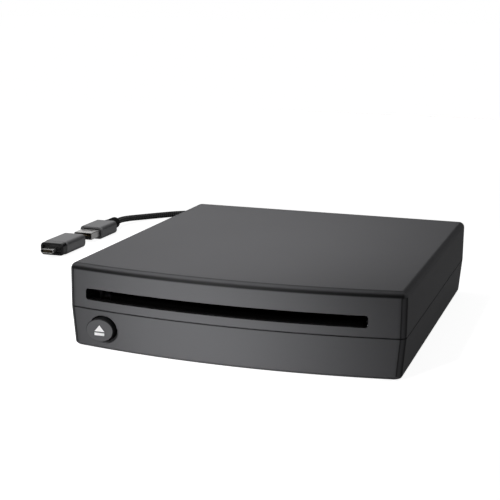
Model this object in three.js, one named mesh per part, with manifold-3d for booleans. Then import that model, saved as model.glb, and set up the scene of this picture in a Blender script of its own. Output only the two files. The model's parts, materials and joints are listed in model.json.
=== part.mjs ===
// A slot-loading disc player in a flat box, with a braided USB lead and a loose USB-C adapter.
// Millimetres, +Z up, front towards -Y. The origin is under the middle of the case, at its feet.
import * as THREE from 'three';
import { mergeVertices } from 'three/addons/utils/BufferGeometryUtils.js';
import Module from 'manifold-3d';

// Clearances and facets
const fitGap = 0.3;
const overrun = 1;
const weldDistance = 1e-4;
const roundSides = 20;
const smallSides = 10;
const arcSteps = 3;
const cornerSteps = 3;
const bowSteps = 16;
const cornerCurveSteps = 2;
const circleCurveSteps = 5;

// Case
const caseSideRoom = 10;
const caseBow = 7.8;
const headRoom = 2;
const wall = 2;
const cornerRadius = 3;
const innerCornerRadius = 1.2;
const topFillet = 2.8;
const bottomFillet = 1.6;
const sideTaper = 1.45;
const endTaper = 0.9;
const seam = 0.3;
const tongueHeight = 1.7;

// Rubber feet
const footRadius = 7;
const footStandOut = 0.6;
const footRecess = 0.6;
const footBesideScrew = 10.8;
const footBehindFrontScrew = 11;
const footBeforeRearScrew = 8;

// Case screws, the bosses they pass and the posts they bite into
const screwInset = 8.2;
const screwFrontInset = 7.1;
const screwRearInset = 9.9;
const screwRadius = 1.4;
const screwHeadRadius = 2.8;
const screwHeadHeight = 2;
const screwHeadRecess = 1;
const screwLength = 15;
const postRadius = 3;
const bossFootRadius = 4.6;
const bossShoulder = 1;

// Disc slot and the disc that it takes
const slotEndRoom = 3.1;
const slotHeight = 5;
const slotX = -3.2;
const slotSill = 4.1;
const slotCorner = 1.3;
const discRadius = 60;
const discThickness = 1.2;
const discSideRoom = 1.8;
const feltThickness = 1.2;
const feltHeight = 3.6;
const feltReach = 0.3;
const feltEndRoom = 2.3;

// Eject button with its symbol, and the switch behind it
const buttonInset = 17.3;
const buttonRise = 9.9;
const buttonHalfWidth = 6.4;
const buttonHalfHeight = 5;
const buttonStandOut = 4;
const buttonGap = 0.6;
const buttonBackRoom = 0.9;
const buttonRim = 1.2;
const buttonRimThickness = 1;
const stemRadius = 1.5;
const symbolDepth = 0.15;
const symbolWidth = 4.6;
const triangleHeight = 2.8;
const triangleRise = -0.5;
const barHeight = 1.2;
const barRise = -2.3;
const switchWidth = 6;
const switchDepth = 3.5;
const plungerRadius = 1.75;
const plungerStandOut = 1.2;
const frontBoardWidth = 15.6;
const frontBoardHeight = 12;
const frontBoardDeckGap = 0.6;
const boardThickness = 1.6;
const boardRibHeight = 3.6;
const boardRibLength = 1.5;
const boardRibThickness = 1.2;

// Main board
const boardPostRoom = 3.8;
const mainBoardLength = 53;
const mainBoardRearRoom = 4.9;
const standoffHeight = 3;
const standoffRadius = 2.5;
const boardPinRadius = 1.2;
const boardPinInset = 6;
const boardPinStandOut = 1.6;
const chipSize = 16;
const chipHeight = 1.4;
const chipX = 12;
const chipBehindBoardFront = 22;
const headerWidth = 10;
const headerLength = 8.3;
const headerHeight = 5;

// Deck: a folded sheet frame that hangs between the bosses and the posts
const deckBoardRoom = 1.8;
const sheet = 1.2;
const deckFrontMargin = 4.4;
const deckRearMargin = 1;
const deckScrewFrontReach = 4.6;
const deckScrewRearReach = 8;
const earHalf = 3.2;
const earOverlap = 2;
const deckWindowLeft = 26;
const deckWindowRight = 18;
const deckWindowFrontReach = 16;
const deckWindowRearMargin = 8;
const guideDiscGap = 3.6;
const guideThickness = 1.4;
const guideRollerReach = 10;
const sideWallMotorMargin = 11;

// Loading roller and its drive
const rollerDiscReach = 2;
const rollerEndRadius = 4.2;
const rollerMiddleRadius = 3.4;
const rollerEndRoom = 3.8;
const rollerDiscGap = 0.2;
const shaftRadius = 1.5;
const shaftOverhang = 1.5;
const gearModule = 0.6;
const rollerTeeth = 20;
const pinionTeeth = 12;
const meshPlay = 0.1;
const toothPlay = 0.15;
const pressureAngle = THREE.MathUtils.degToRad(20);
const addendumShare = 0.85;
const dedendumShare = 1.15;
const gearWidth = 2.4;
const gearWallGap = 0.8;
const idlerAngle = THREE.MathUtils.degToRad(-45);
const idlerPinRadius = 1;
const pulleyGap = 1.2;
const pulleyWidth = 2.4;
const pulleyFlange = 0.7;
const bigGrooveRadius = 7;
const smallGrooveRadius = 1.6;
const grooveDepth = 1;
const beltThickness = 0.7;
const beltWidth = 0.6;
const motorBehindRoller = 22;
const motorLength = 25;
const motorRadius = 7.75;
const motorHalfHeight = 5.8;
const motorShaftRadius = 0.75;
const motorShaftDepth = 2.5;
const motorBossHole = 3;

// Traverse unit: plate, dampers, spindle, rods, screw and pickup
const plateDiscGap = 4.3;
const plateLeft = 34;
const plateMotorGap = 0.8;
const plateFrontReach = 28;
const plateBeyondHinge = 12.6;
const damperRadius = 4;
const damperPinRadius = 1.4;
const damperPinHeight = 3;
const damperFrontX = 8;
const damperFrontInset = 6;
const damperLeftInset = 5;
const damperRearInset = 10.6;
const damperBeyondScrew = 12;
const damperRightY = 28;
const spindleHole = 4;
const spindleMotorRadius = 12;
const spindleMotorHeight = 6;
const spindleShaftRadius = 1;
const spindleShaftDepth = 3;
const platterRadius = 11;
const platterThickness = 1.6;
const hubRadius = 7.4;
const hubTopRadius = 5.5;
const hubRise = 1.2;
const hubHeight = 2.2;
const rodX = 20;
const rodDrop = 3.7;
const rodRadius = 1.5;
const lugThickness = 1.6;
const lugHalf = 4;
const rodFrontY = 8.4;
const screwDriveX = 31;
const screwDriveDrop = 2.9;
const feedMotorRadius = 5.5;
const feedMotorLength = 13;
const feedMotorFaceY = 2;
const feedShaftDepth = 2.5;
const sledLength = 20;
const sledMotorGap = 2;
const sledBeyondRod = 4.5;
const sledHeight = 6.4;
const sledGap = 0.5;
const sledArmBeyondScrew = 3;
const sledArmLength = 8;
const lensWindowHalf = 12;
const lensWindowRearMargin = 3.6;
const holderHalf = 6;
const holderLength = 10;
const holderHeight = 2.4;
const holderGap = 0.8;
const lensRadius = 2.4;
const lensThickness = 1.2;
const lensStandOut = 0.6;

// Clamp above the disc
const armReach = 58;
const armGuideGap = 0.4;
const hingePinRadius = 1;
const uprightPlateGap = 5.8;
const uprightLength = 10;
const uprightRise = 2.5;
const armThickness = 1;
const armHalfWidth = 9;
const armPadRadius = 12;
const armBarLength = 8.5;
const armBarGap = 3.5;
const armEarGap = 0.6;
const armEarHalfHeight = 2;
const clamperRadius = 13;
const clamperThickness = 2;
const clamperRecess = 1.4;
const clamperHubRoom = 1;
const clamperNeckRadius = 4.5;
const clamperCapRadius = 6.5;
const clamperCapThickness = 1.2;
const neckGap = 0.5;
const clampSpringRadius = 2.4;
const clampSpringLength = 8;
const clampSpringEarRoom = 5;

// Lead, its gland and its coil
const cordRadius = 2;
const cordSides = 10;
const glandX = -45;
const glandRise = 9.2;
const glandFlangeRadius = 4.8;
const glandFlangeThickness = 1.3;
const glandNeckRadius = 3.6;
const glandEndRadius = 2.8;
const glandLength = 14;
const glandWallGap = 0.55;
const tieThickness = 0.4;
const tieWidth = 4;
const tieTailRadius = 0.6;
const tieTailLength = 9;
const floorGap = 0.1;
const coilTurns = 5;
const coilPitch = 4.6;
const coilOuterRadius = 28.75;
const coilSteps = 24;
const coilSides = 6;
const climbTurns = 0.5;
const coilX = -85.75;
const coilY = 150;

// Plug on the lead
const plugX = -168;
const plugTipY = 123.5;
const axisHeight = 4.1;
const usbWidth = 12;
const usbHeight = 4.5;
const usbWall = 0.3;
const usbExposed = 12;
const usbSunk = 3;
const usbCorner = 0.5;
const usbHoleSize = 2.4;
const usbHoleX = 2.9;
const usbHoleY = 7.6;
const usbTongueThickness = 1.75;
const usbTongueInset = 0.6;
const housingWidth = 15.6;
const housingHeight = 8;
const housingCorner = 2.4;
const housingBevel = 0.4;
const plugHousingLength = 22;
const bootFlareSteps = 5;
const bootFlareLength = 8;
const bootLength = 14;
const bootRadius = 3.7;
const bootEndRadius = 0.8;
const bootInset = 0.6;
const bootTenon = 2;
const bootTenonInset = 2.6;

// Adapter lying before the plug
const adapterGap = 12;
const adapterLength = 24;
const collarLength = 5;
const collarInset = 0.25;
const collarCorner = 2.2;
const collarLip = 1.5;
const collarStep = 1.6;
const socketTongue = 1.4;
const socketTongueLength = 8.8;
const socketTongueRise = 0.15;
const usbCWidth = 8.25;
const usbCHeight = 2.4;
const usbCExposed = 6.5;
const usbCSunk = 1.5;
const usbCWall = 0.3;
const usbCFlat = 0.05;
const usbCInsertGap = 0.35;
const usbCInsertSetback = 0.8;

// Heights: what is inside stacks up from the floor, and the case closes round it
const caseBottom = footStandOut;
const floorTop = caseBottom + wall;
const boardBottom = floorTop + standoffHeight;
const boardTop = boardBottom + boardThickness;
const deckBottom = boardTop + deckBoardRoom;
const deckTop = deckBottom + sheet;
const driveZ = deckTop + fitGap + feedMotorRadius;
const plateBottom = driveZ + screwDriveDrop;
const plateTop = plateBottom + sheet;
const discBottom = plateTop + plateDiscGap;
const slotZ = discBottom + discThickness / 2;
const partLine = slotZ - slotHeight / 2 - slotSill;
const partLineRise = partLine - caseBottom;
const sideWallTop = discBottom + discThickness + guideDiscGap;
const hingeZ = sideWallTop + guideThickness + armGuideGap + armThickness / 2;
const ceiling = hingeZ + uprightRise + headRoom;
const caseTop = ceiling + wall;
const buttonZ = caseBottom + buttonRise;

// Places on the deck, from the turntable's axis
const sideWallX = discRadius + discSideRoom;
const wallOuter = sideWallX + sheet;
const rollerY = -discRadius - rollerDiscReach;
const rollerHalfLength = sideWallX - rollerEndRoom;
const motorY = rollerY + motorBehindRoller;
const deckFrontY = rollerY - deckFrontMargin;
const sideWallRearY = motorY + sideWallMotorMargin;
const guideRearY = rollerY + guideRollerReach;
const hingeY = armReach;
const deckRearY = hingeY + uprightLength / 2 + deckRearMargin;
const deckWindowRearY = deckRearY - deckWindowRearMargin;
const plateRearY = hingeY + plateBeyondHinge;
const plateRight = screwDriveX - feedMotorRadius - plateMotorGap;
const lensWindowFrontY = spindleMotorRadius + sledMotorGap;
const lensWindowRearY = plateRearY - lensWindowRearMargin;
const sledY = lensWindowFrontY + sledLength / 2;
const sledHalfWidth = rodX + sledBeyondRod;
const sledArmReach = screwDriveX + sledArmBeyondScrew;
const uprightX = plateLeft + uprightPlateGap;
const clampSpringX = uprightX - armEarGap - sheet - clampSpringEarRoom - clampSpringLength;
const damperPlaces = [
  { x: damperFrontX, y: damperFrontInset - plateFrontReach },
  { x: damperLeftInset - plateLeft, y: plateRearY - damperRearInset },
  { x: screwDriveX + damperBeyondScrew, y: damperRightY },
];

// Places in the case, from the middle of its plan
const halfWidth = wallOuter + caseSideRoom + wall;
const frontDepth = deckScrewFrontReach + screwFrontInset - deckFrontY;
const rearDepth = deckRearY + deckScrewRearReach + screwRearInset;
const caseSideLength = frontDepth + rearDepth;
const backY = (caseSideLength + caseBow) / 2;
const frontCornerY = backY - caseSideLength;
const frontMiddleY = frontCornerY - caseBow;
const spindleY = backY - rearDepth;
const slotLength = 2 * (discRadius + slotEndRoom);
const buttonX = buttonInset - halfWidth;
const buttonBackY = frontCornerY + buttonBackRoom;
const frontBoardY = spindleY + deckFrontY - frontBoardDeckGap - boardThickness;
const screwX = halfWidth - screwInset;
const screwFrontY = frontCornerY + screwFrontInset;
const screwRearY = backY - screwRearInset;
const screwPlaces = [
  { x: -screwX, y: screwFrontY },
  { x: screwX, y: screwFrontY },
  { x: screwX, y: screwRearY },
  { x: -screwX, y: screwRearY },
];
const footX = screwX - footBesideScrew;
const footFrontY = screwFrontY + footBehindFrontScrew;
const footRearY = screwRearY - footBeforeRearScrew;
const footPlaces = [
  { x: -footX, y: footFrontY },
  { x: footX, y: footFrontY },
  { x: footX, y: footRearY },
  { x: -footX, y: footRearY },
];
const mainBoardWidth = 2 * (screwX - postRadius - boardPostRoom);
const mainBoardRearY = backY - mainBoardRearRoom;
const mainBoardFrontY = mainBoardRearY - mainBoardLength;

// Materials
function finish(color, roughness, metalness) {
  return new THREE.MeshStandardMaterial({ color, roughness, metalness });
}
const shellPlastic = finish('#626264', 0.55, 0);
const blackPlastic = finish('#141415', 0.35, 0);
const symbolWhite = finish('#f2f2f2', 0.5, 0);
const rubber = finish('#1b1b1c', 0.9, 0);
const felt = finish('#0e0e0f', 1, 0);
const steel = finish('#a4a6a9', 0.35, 1);
const darkSteel = finish('#6e7073', 0.45, 1);
const boardGreen = finish('#1f5b38', 0.55, 0);
const chipBlack = finish('#18181a', 0.45, 0);
const nylonWhite = finish('#dcdad2', 0.5, 0);
const lensGlass = finish('#9fb4d8', 0.05, 0);
const braid = finish('#2c2c2e', 0.8, 0);
const nickel = finish('#cfcdc9', 0.25, 1);
const spaceGrey = finish('#6c6d6f', 0.4, 0.8);

const wasm = await Module();
wasm.setup();

// Keeps positions only, joins equal corners and leaves out triangles without area.
function weld(geometry) {
  const bare = geometry.clone();
  bare.deleteAttribute('normal');
  bare.deleteAttribute('uv');
  const merged = mergeVertices(bare, weldDistance);
  const source = merged.index.array;
  const kept = [];
  for (let i = 0; i < source.length; i += 3) {
    const [a, b, c] = [source[i], source[i + 1], source[i + 2]];
    if (a !== b && b !== c && c !== a) kept.push(a, b, c);
  }
  merged.setIndex(kept);
  return merged;
}

function toSolid(geometry) {
  const welded = weld(geometry);
  const vertProperties = Float32Array.from(welded.attributes.position.array);
  const triVerts = Uint32Array.from(welded.index.array);
  return new wasm.Manifold(new wasm.Mesh({ numProp: 3, vertProperties, triVerts }));
}

function toGeometry(solid) {
  const mesh = solid.getMesh();
  const geometry = new THREE.BufferGeometry();
  geometry.setAttribute('position', new THREE.BufferAttribute(mesh.vertProperties, 3));
  geometry.setIndex(new THREE.BufferAttribute(mesh.triVerts, 1));
  return geometry;
}

// Joins the first list of geometries and cuts the second list from them.
function carve(joined, removed = []) {
  let solid = toSolid(joined[0]);
  for (const geometry of joined.slice(1)) solid = solid.add(toSolid(geometry));
  for (const geometry of removed) solid = solid.subtract(toSolid(geometry));
  return toGeometry(solid);
}

const unitX = new THREE.Vector3(1, 0, 0);
const unitY = new THREE.Vector3(0, 1, 0);
const unitZ = new THREE.Vector3(0, 0, 1);

function reframe(geometry, first, second, third) {
  geometry.applyMatrix4(new THREE.Matrix4().makeBasis(first, second, third));
  return geometry;
}

// An outline pushed along an axis. It is drawn in (y, z) for x, in (x, z) for y and in (x, y) for z.
function push(axis, shape, from, to, curveSegments = cornerCurveSteps) {
  const options = { depth: to - from, bevelEnabled: false, curveSegments };
  const geometry = new THREE.ExtrudeGeometry(shape, options);
  if (axis === 'x') return reframe(geometry, unitY, unitZ, unitX).translate(from, 0, 0);
  if (axis === 'y') return reframe(geometry, unitX, unitZ, unitY.clone().negate()).translate(0, to, 0);
  return geometry.translate(0, 0, from);
}

// A profile of [radius, height] pairs turned about an axis through (a, b).
function turn(axis, profile, a = 0, b = 0, sides = roundSides) {
  const points = profile.map(([radius, height]) => new THREE.Vector2(radius, height));
  const geometry = new THREE.LatheGeometry(points, sides);
  if (axis === 'x') return reframe(geometry, unitY, unitX, unitZ.clone().negate()).translate(0, a, b);
  if (axis === 'y') return geometry.translate(a, 0, b);
  return reframe(geometry, unitX, unitZ, unitY.clone().negate()).translate(a, b, 0);
}

function rod(axis, radius, from, to, a = 0, b = 0, sides = smallSides) {
  return turn(axis, [[0, from], [radius, from], [radius, to], [0, to]], a, b, sides);
}

function ring(axis, inner, outer, from, to, a = 0, b = 0, sides = roundSides) {
  return turn(axis, [[inner, from], [outer, from], [outer, to], [inner, to], [inner, from]], a, b, sides);
}

function block(x0, x1, y0, y1, z0, z1) {
  const geometry = new THREE.BoxGeometry(x1 - x0, y1 - y0, z1 - z0);
  return geometry.translate((x0 + x1) / 2, (y0 + y1) / 2, (z0 + z1) / 2);
}

// A rectangle with round corners about (a, b).
function roundRect(width, height, radius, a = 0, b = 0) {
  const x = width / 2 - radius;
  const y = height / 2 - radius;
  const quarter = Math.PI / 2;
  const shape = new THREE.Shape();
  shape.absarc(a + x, b + y, radius, 0, quarter);
  shape.absarc(a - x, b + y, radius, quarter, 2 * quarter);
  shape.absarc(a - x, b - y, radius, 2 * quarter, 3 * quarter);
  shape.absarc(a + x, b - y, radius, 3 * quarter, 4 * quarter);
  return shape;
}

// Rings of points, from the lowest to the highest, skinned into one closed body.
function loft(rings) {
  const count = rings[0].length;
  const positions = rings.flat().flatMap((point) => [point.x, point.y, point.z]);
  const index = [];
  for (let level = 0; level + 1 < rings.length; level += 1) {
    for (let i = 0; i < count; i += 1) {
      const a = level * count + i;
      const b = level * count + ((i + 1) % count);
      index.push(a, b, b + count, a, b + count, a + count);
    }
  }
  const flat = rings[0].map((point) => new THREE.Vector2(point.x, point.y));
  const last = (rings.length - 1) * count;
  for (const [a, b, c] of THREE.ShapeUtils.triangulateShape(flat, [])) index.push(a, c, b);
  const flatTop = rings.at(-1).map((point) => new THREE.Vector2(point.x, point.y));
  for (const [a, b, c] of THREE.ShapeUtils.triangulateShape(flatTop, [])) {
    index.push(last + a, last + b, last + c);
  }
  const geometry = new THREE.BufferGeometry();
  geometry.setAttribute('position', new THREE.Float32BufferAttribute(positions, 3));
  geometry.setIndex(index);
  return geometry;
}

const model = new THREE.Group();

function addMesh(parent, name, geometry, material, x = 0, y = 0, z = 0) {
  const mesh = new THREE.Mesh(geometry, material);
  mesh.name = name;
  mesh.position.set(x, y, z);
  parent.add(mesh);
  return mesh;
}

// The front face in plan, bowed out, at an inset behind the outer surface.
function frontY(x, inset) {
  return frontCornerY + inset - caseBow * (1 - (x / halfWidth) ** 2);
}

// How far the lower case has drawn in at a height: a share of its full taper.
function taperShare(z) {
  return Math.max(0, (partLine - z) / partLineRise);
}

// One ring of the case's plan outline at height z, counter-clockwise from above.
function caseRing(z, inset, radius) {
  const share = taperShare(z);
  const half = halfWidth - inset - sideTaper * share;
  const endInset = inset + endTaper * share;
  const slope = Math.atan((2 * caseBow * half) / halfWidth ** 2);
  const joinX = half - radius + radius * Math.sin(slope);
  const rearY = backY - endInset;
  const points = [];
  for (let i = 0; i <= bowSteps; i += 1) {
    const x = joinX * ((2 * i) / bowSteps - 1);
    points.push(new THREE.Vector3(x, frontY(x, endInset), z));
  }
  const arc = (centreX, centreY, start, end, first) => {
    for (let i = first; i <= cornerSteps; i += 1) {
      const angle = start + ((end - start) * i) / cornerSteps;
      const x = centreX + radius * Math.cos(angle);
      points.push(new THREE.Vector3(x, centreY + radius * Math.sin(angle), z));
    }
  };
  const quarter = Math.PI / 2;
  const frontCentreY = frontY(joinX, endInset) + radius * Math.cos(slope);
  arc(half - radius, frontCentreY, slope - quarter, 0, 1);
  arc(half - radius, rearY - radius, 0, quarter, 0);
  arc(radius - half, rearY - radius, quarter, 2 * quarter, 0);
  arc(radius - half, frontCentreY, 2 * quarter, 3 * quarter - slope, 0);
  points.pop();
  return points;
}

// The case's outline at the part line, drawn in by an inset and set at any height.
function partRing(inset, z) {
  return caseRing(partLine, inset, innerCornerRadius).map((point) => point.setZ(z));
}

// The upper case: outer skin with a filleted top edge, hollow, rebated for the lower case's tongue.
function upperShell() {
  const rings = [caseRing(partLine + seam / 2, 0, cornerRadius)];
  for (let i = 0; i <= arcSteps; i += 1) {
    const angle = (Math.PI / 2) * (i / arcSteps);
    const inset = topFillet * (1 - Math.cos(angle));
    const radius = Math.max(innerCornerRadius, cornerRadius - inset);
    rings.push(caseRing(caseTop - topFillet + topFillet * Math.sin(angle), inset, radius));
  }
  const below = partLine - overrun;
  const cavity = loft([partRing(wall, below), caseRing(ceiling, wall, innerCornerRadius)]);
  const rebateInset = (wall - fitGap) / 2;
  const rebateTop = partLine + tongueHeight + fitGap;
  const rebate = loft([partRing(rebateInset, below), partRing(rebateInset, rebateTop)]);
  const slot = push('y', roundRect(slotLength, slotHeight, slotCorner, slotX, slotZ),
    frontMiddleY - overrun, frontCornerY + wall);
  const posts = screwPlaces.map(({ x, y }) => rod('z', postRadius, deckTop, ceiling + wall / 2, x, y));
  const pilots = screwPlaces.map(({ x, y }) => rod('z', screwRadius + fitGap, deckTop - overrun,
    screwTop() + fitGap, x, y));
  const hollow = carve([loft(rings)], [cavity, rebate, slot]);
  return carve([hollow, ...posts], pilots);
}

function screwSeat() {
  return caseBottom + screwHeadRecess + screwHeadHeight + fitGap;
}

function screwTop() {
  return screwSeat() - fitGap + screwLength;
}

// The lower case: tapered inwards going down, with a tongue, bosses, ribs, pins and recesses.
function lowerShell() {
  const rings = [];
  for (let i = 0; i <= arcSteps; i += 1) {
    const angle = (Math.PI / 2) * (i / arcSteps);
    const z = caseBottom + bottomFillet * (1 - Math.cos(angle));
    rings.push(caseRing(z, bottomFillet * (1 - Math.sin(angle)), cornerRadius));
  }
  rings.push(caseRing(partLine - seam / 2, 0, cornerRadius));
  const tongueTop = partLine + tongueHeight;
  const tongueInset = (wall + fitGap) / 2;
  const tongue = loft([partRing(tongueInset, partLine - wall), partRing(tongueInset, tongueTop)]);
  const cavity = loft([caseRing(floorTop, wall, innerCornerRadius), partRing(wall, partLine),
    partRing(wall, tongueTop + overrun)]);
  const hollow = carve([loft(rings), tongue], [cavity]);

  const added = [];
  const removed = [];
  const seat = screwSeat();
  const underside = caseBottom - overrun;
  for (const { x, y } of screwPlaces) {
    added.push(rod('z', postRadius, caseBottom + wall / 2, deckBottom, x, y));
    added.push(rod('z', bossFootRadius, caseBottom + wall / 2, seat + bossShoulder, x, y));
    removed.push(rod('z', screwRadius + fitGap, underside, deckBottom + overrun, x, y));
    removed.push(rod('z', screwHeadRadius + fitGap, underside, seat, x, y));
  }
  for (const { x, y } of footPlaces) {
    removed.push(rod('z', footRadius + fitGap, underside, caseBottom + footRecess, x, y, roundSides));
  }
  for (const { x, y } of boardPinPlaces()) {
    added.push(rod('z', standoffRadius, caseBottom + wall / 2, boardBottom, x, y));
    added.push(rod('z', boardPinRadius, caseBottom + wall / 2, boardTop + boardPinStandOut, x, y));
  }
  for (const side of [-1, 1]) {
    const x = frontBoardX() + (side * (frontBoardWidth - boardRibThickness)) / 2 - boardRibThickness / 2;
    const ribTop = floorTop + boardRibHeight;
    const boardRear = frontBoardY + boardThickness;
    added.push(block(x, x + boardRibThickness, frontBoardY - fitGap - boardRibLength, frontBoardY - fitGap,
      caseBottom + wall / 2, ribTop));
    added.push(block(x, x + boardRibThickness, boardRear + fitGap, boardRear + fitGap + boardRibLength,
      caseBottom + wall / 2, ribTop));
  }
  removed.push(buttonOval(buttonGap, frontMiddleY - overrun, frontCornerY + wall + overrun));
  removed.push(rod('y', glandNeckRadius + fitGap, backY - endTaper - wall - overrun, backY + overrun,
    glandX, glandZ(), roundSides));
  return carve([hollow, ...added], removed);
}

function boardPinPlaces() {
  const x = mainBoardWidth / 2 - boardPinInset;
  const front = mainBoardFrontY + boardPinInset;
  const rear = mainBoardRearY - boardPinInset;
  return [{ x: -x, y: front }, { x, y: front }, { x, y: rear }, { x: -x, y: rear }];
}

// The front board starts just right of the left front post.
function frontBoardX() {
  return -screwX + postRadius + 2 * fitGap + overrun + frontBoardWidth / 2;
}

function glandZ() {
  return caseBottom + glandRise;
}

function addCase() {
  addMesh(model, 'upper_shell', upperShell(), shellPlastic);
  addMesh(model, 'lower_shell', lowerShell(), shellPlastic);
  footPlaces.forEach(({ x, y }, i) => {
    const disc = rod('z', footRadius, 0, footStandOut + footRecess, 0, 0, roundSides);
    addMesh(model, `rubber_foot_${i + 1}`, weld(disc), rubber, x, y, 0);
  });
  const profile = [[0, 0], [screwHeadRadius, 0], [screwHeadRadius, screwHeadHeight],
    [screwRadius, screwHeadHeight], [screwRadius, screwHeadHeight + screwLength],
    [0, screwHeadHeight + screwLength]];
  screwPlaces.forEach(({ x, y }, i) => {
    const screw = turn('z', profile, 0, 0, smallSides);
    addMesh(model, `case_screw_${i + 1}`, weld(screw), darkSteel, x, y, caseBottom + screwHeadRecess);
  });
  addFelts();
}

// Two dust lips that follow the bowed front wall, above and below the slot.
function addFelts() {
  const halfLength = slotLength / 2 - feltEndRoom;
  const near = wall + fitGap;
  const outline = new THREE.Shape();
  const edge = (inset, forwards) => {
    for (let i = 0; i <= bowSteps; i += 1) {
      const step = forwards ? i : bowSteps - i;
      const x = slotX + halfLength * ((2 * step) / bowSteps - 1);
      outline.lineTo(x, frontY(x, inset));
    }
  };
  outline.moveTo(slotX - halfLength, frontY(slotX - halfLength, near));
  edge(near, true);
  edge(near + feltThickness, false);
  const inner = slotHeight / 2 - feltReach;
  const low = push('z', outline, slotZ - inner - feltHeight, slotZ - inner);
  const high = push('z', outline, slotZ + inner, slotZ + inner + feltHeight);
  addMesh(model, 'slot_felt_lower', weld(low), felt);
  addMesh(model, 'slot_felt_upper', weld(high), felt);
}

// An oval bar on the button's axis, larger than the button all round by some growth.
function buttonOval(growth, from, to) {
  const half = buttonHalfWidth + growth;
  const heightShare = (buttonHalfHeight + growth) / half;
  const bar = rod('y', half, from, to, 0, 0, roundSides);
  return reframe(bar, unitX, unitY, unitZ.clone().multiplyScalar(heightShare)).translate(buttonX, 0, buttonZ);
}

// The button slides in the front wall; its stem stops short of the switch's plunger.
function addEject() {
  const faceY = frontY(buttonX, endTaper * taperShare(buttonZ)) - buttonStandOut;
  const switchFront = frontBoardY - switchDepth;
  const plungerFront = switchFront - plungerStandOut;
  const rimMiddle = buttonBackY + buttonRimThickness / 2;
  const head = buttonOval(0, faceY, rimMiddle);
  const rim = buttonOval(buttonRim, buttonBackY, buttonBackY + buttonRimThickness);
  const stem = rod('y', stemRadius, rimMiddle, plungerFront - fitGap, buttonX, buttonZ);
  addMesh(model, 'eject_button', carve([head, rim, stem]), shellPlastic);

  const triangle = new THREE.Shape();
  const half = symbolWidth / 2;
  const base = buttonZ + triangleRise;
  triangle.moveTo(buttonX - half, base);
  triangle.lineTo(buttonX + half, base);
  triangle.lineTo(buttonX, base + triangleHeight);
  triangle.closePath();
  addMesh(model, 'eject_triangle', weld(push('y', triangle, faceY - symbolDepth, faceY)), symbolWhite);
  const barBase = buttonZ + barRise;
  const bar = block(buttonX - half, buttonX + half, faceY - symbolDepth, faceY, barBase, barBase + barHeight);
  addMesh(model, 'eject_bar', weld(bar), symbolWhite);

  const x = frontBoardX();
  const boardFoot = floorTop + fitGap;
  const frontBoard = block(x - frontBoardWidth / 2, x + frontBoardWidth / 2, frontBoardY,
    frontBoardY + boardThickness, boardFoot, boardFoot + frontBoardHeight);
  addMesh(model, 'front_board', weld(frontBoard), boardGreen);
  const halfSwitch = switchWidth / 2;
  const body = block(buttonX - halfSwitch, buttonX + halfSwitch, switchFront, frontBoardY,
    buttonZ - halfSwitch, buttonZ + halfSwitch);
  const bore = rod('y', plungerRadius + fitGap, switchFront - overrun, switchFront + switchDepth / 2,
    buttonX, buttonZ);
  addMesh(model, 'eject_switch', carve([body], [bore]), chipBlack);
  const plunger = rod('y', plungerRadius, plungerFront, switchFront + fitGap, buttonX, buttonZ);
  addMesh(model, 'switch_plunger', weld(plunger), nylonWhite);
}

function addMainBoard() {
  const half = mainBoardWidth / 2;
  const sheetBlock = block(-half, half, mainBoardFrontY, mainBoardRearY, boardBottom, boardTop);
  const holes = boardPinPlaces().map(({ x, y }) => rod('z', boardPinRadius + fitGap,
    boardBottom - overrun, boardTop + overrun, x, y));
  addMesh(model, 'main_board', carve([sheetBlock], holes), boardGreen);
  const chip = new THREE.BoxGeometry(chipSize, chipSize, chipHeight);
  const chipY = mainBoardFrontY + chipBehindBoardFront;
  addMesh(model, 'decoder_chip', weld(chip), chipBlack, chipX, chipY, boardTop + chipHeight / 2);
  const headerRearY = glandFaces().inner - fitGap;
  const header = block(glandX - headerWidth / 2, glandX + headerWidth / 2, headerRearY - headerLength,
    headerRearY, boardTop, boardTop + headerHeight);
  addMesh(model, 'cord_header', weld(header), nylonWhite);
}

// The deck stands at the middle of the slot, with its own middle at the turntable's axis.
const deck = new THREE.Group();
deck.position.set(slotX, spindleY, 0);
model.add(deck);

const rollerZ = discBottom - rollerDiscGap - rollerEndRadius;
const rollerPitch = (gearModule * rollerTeeth) / 2;
const pinionPitch = (gearModule * pinionTeeth) / 2;
const idlerDistance = rollerPitch + pinionPitch + meshPlay;
const idlerY = rollerY + idlerDistance * Math.cos(idlerAngle);
const idlerZ = rollerZ + idlerDistance * Math.sin(idlerAngle);
const motorZ = deckTop + fitGap + motorHalfHeight;
const gearFrom = wallOuter + gearWallGap;
const gearTo = gearFrom + gearWidth;
const pulleyFrom = gearTo + pulleyGap;
const pulleyTo = pulleyFrom + pulleyWidth;

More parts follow.
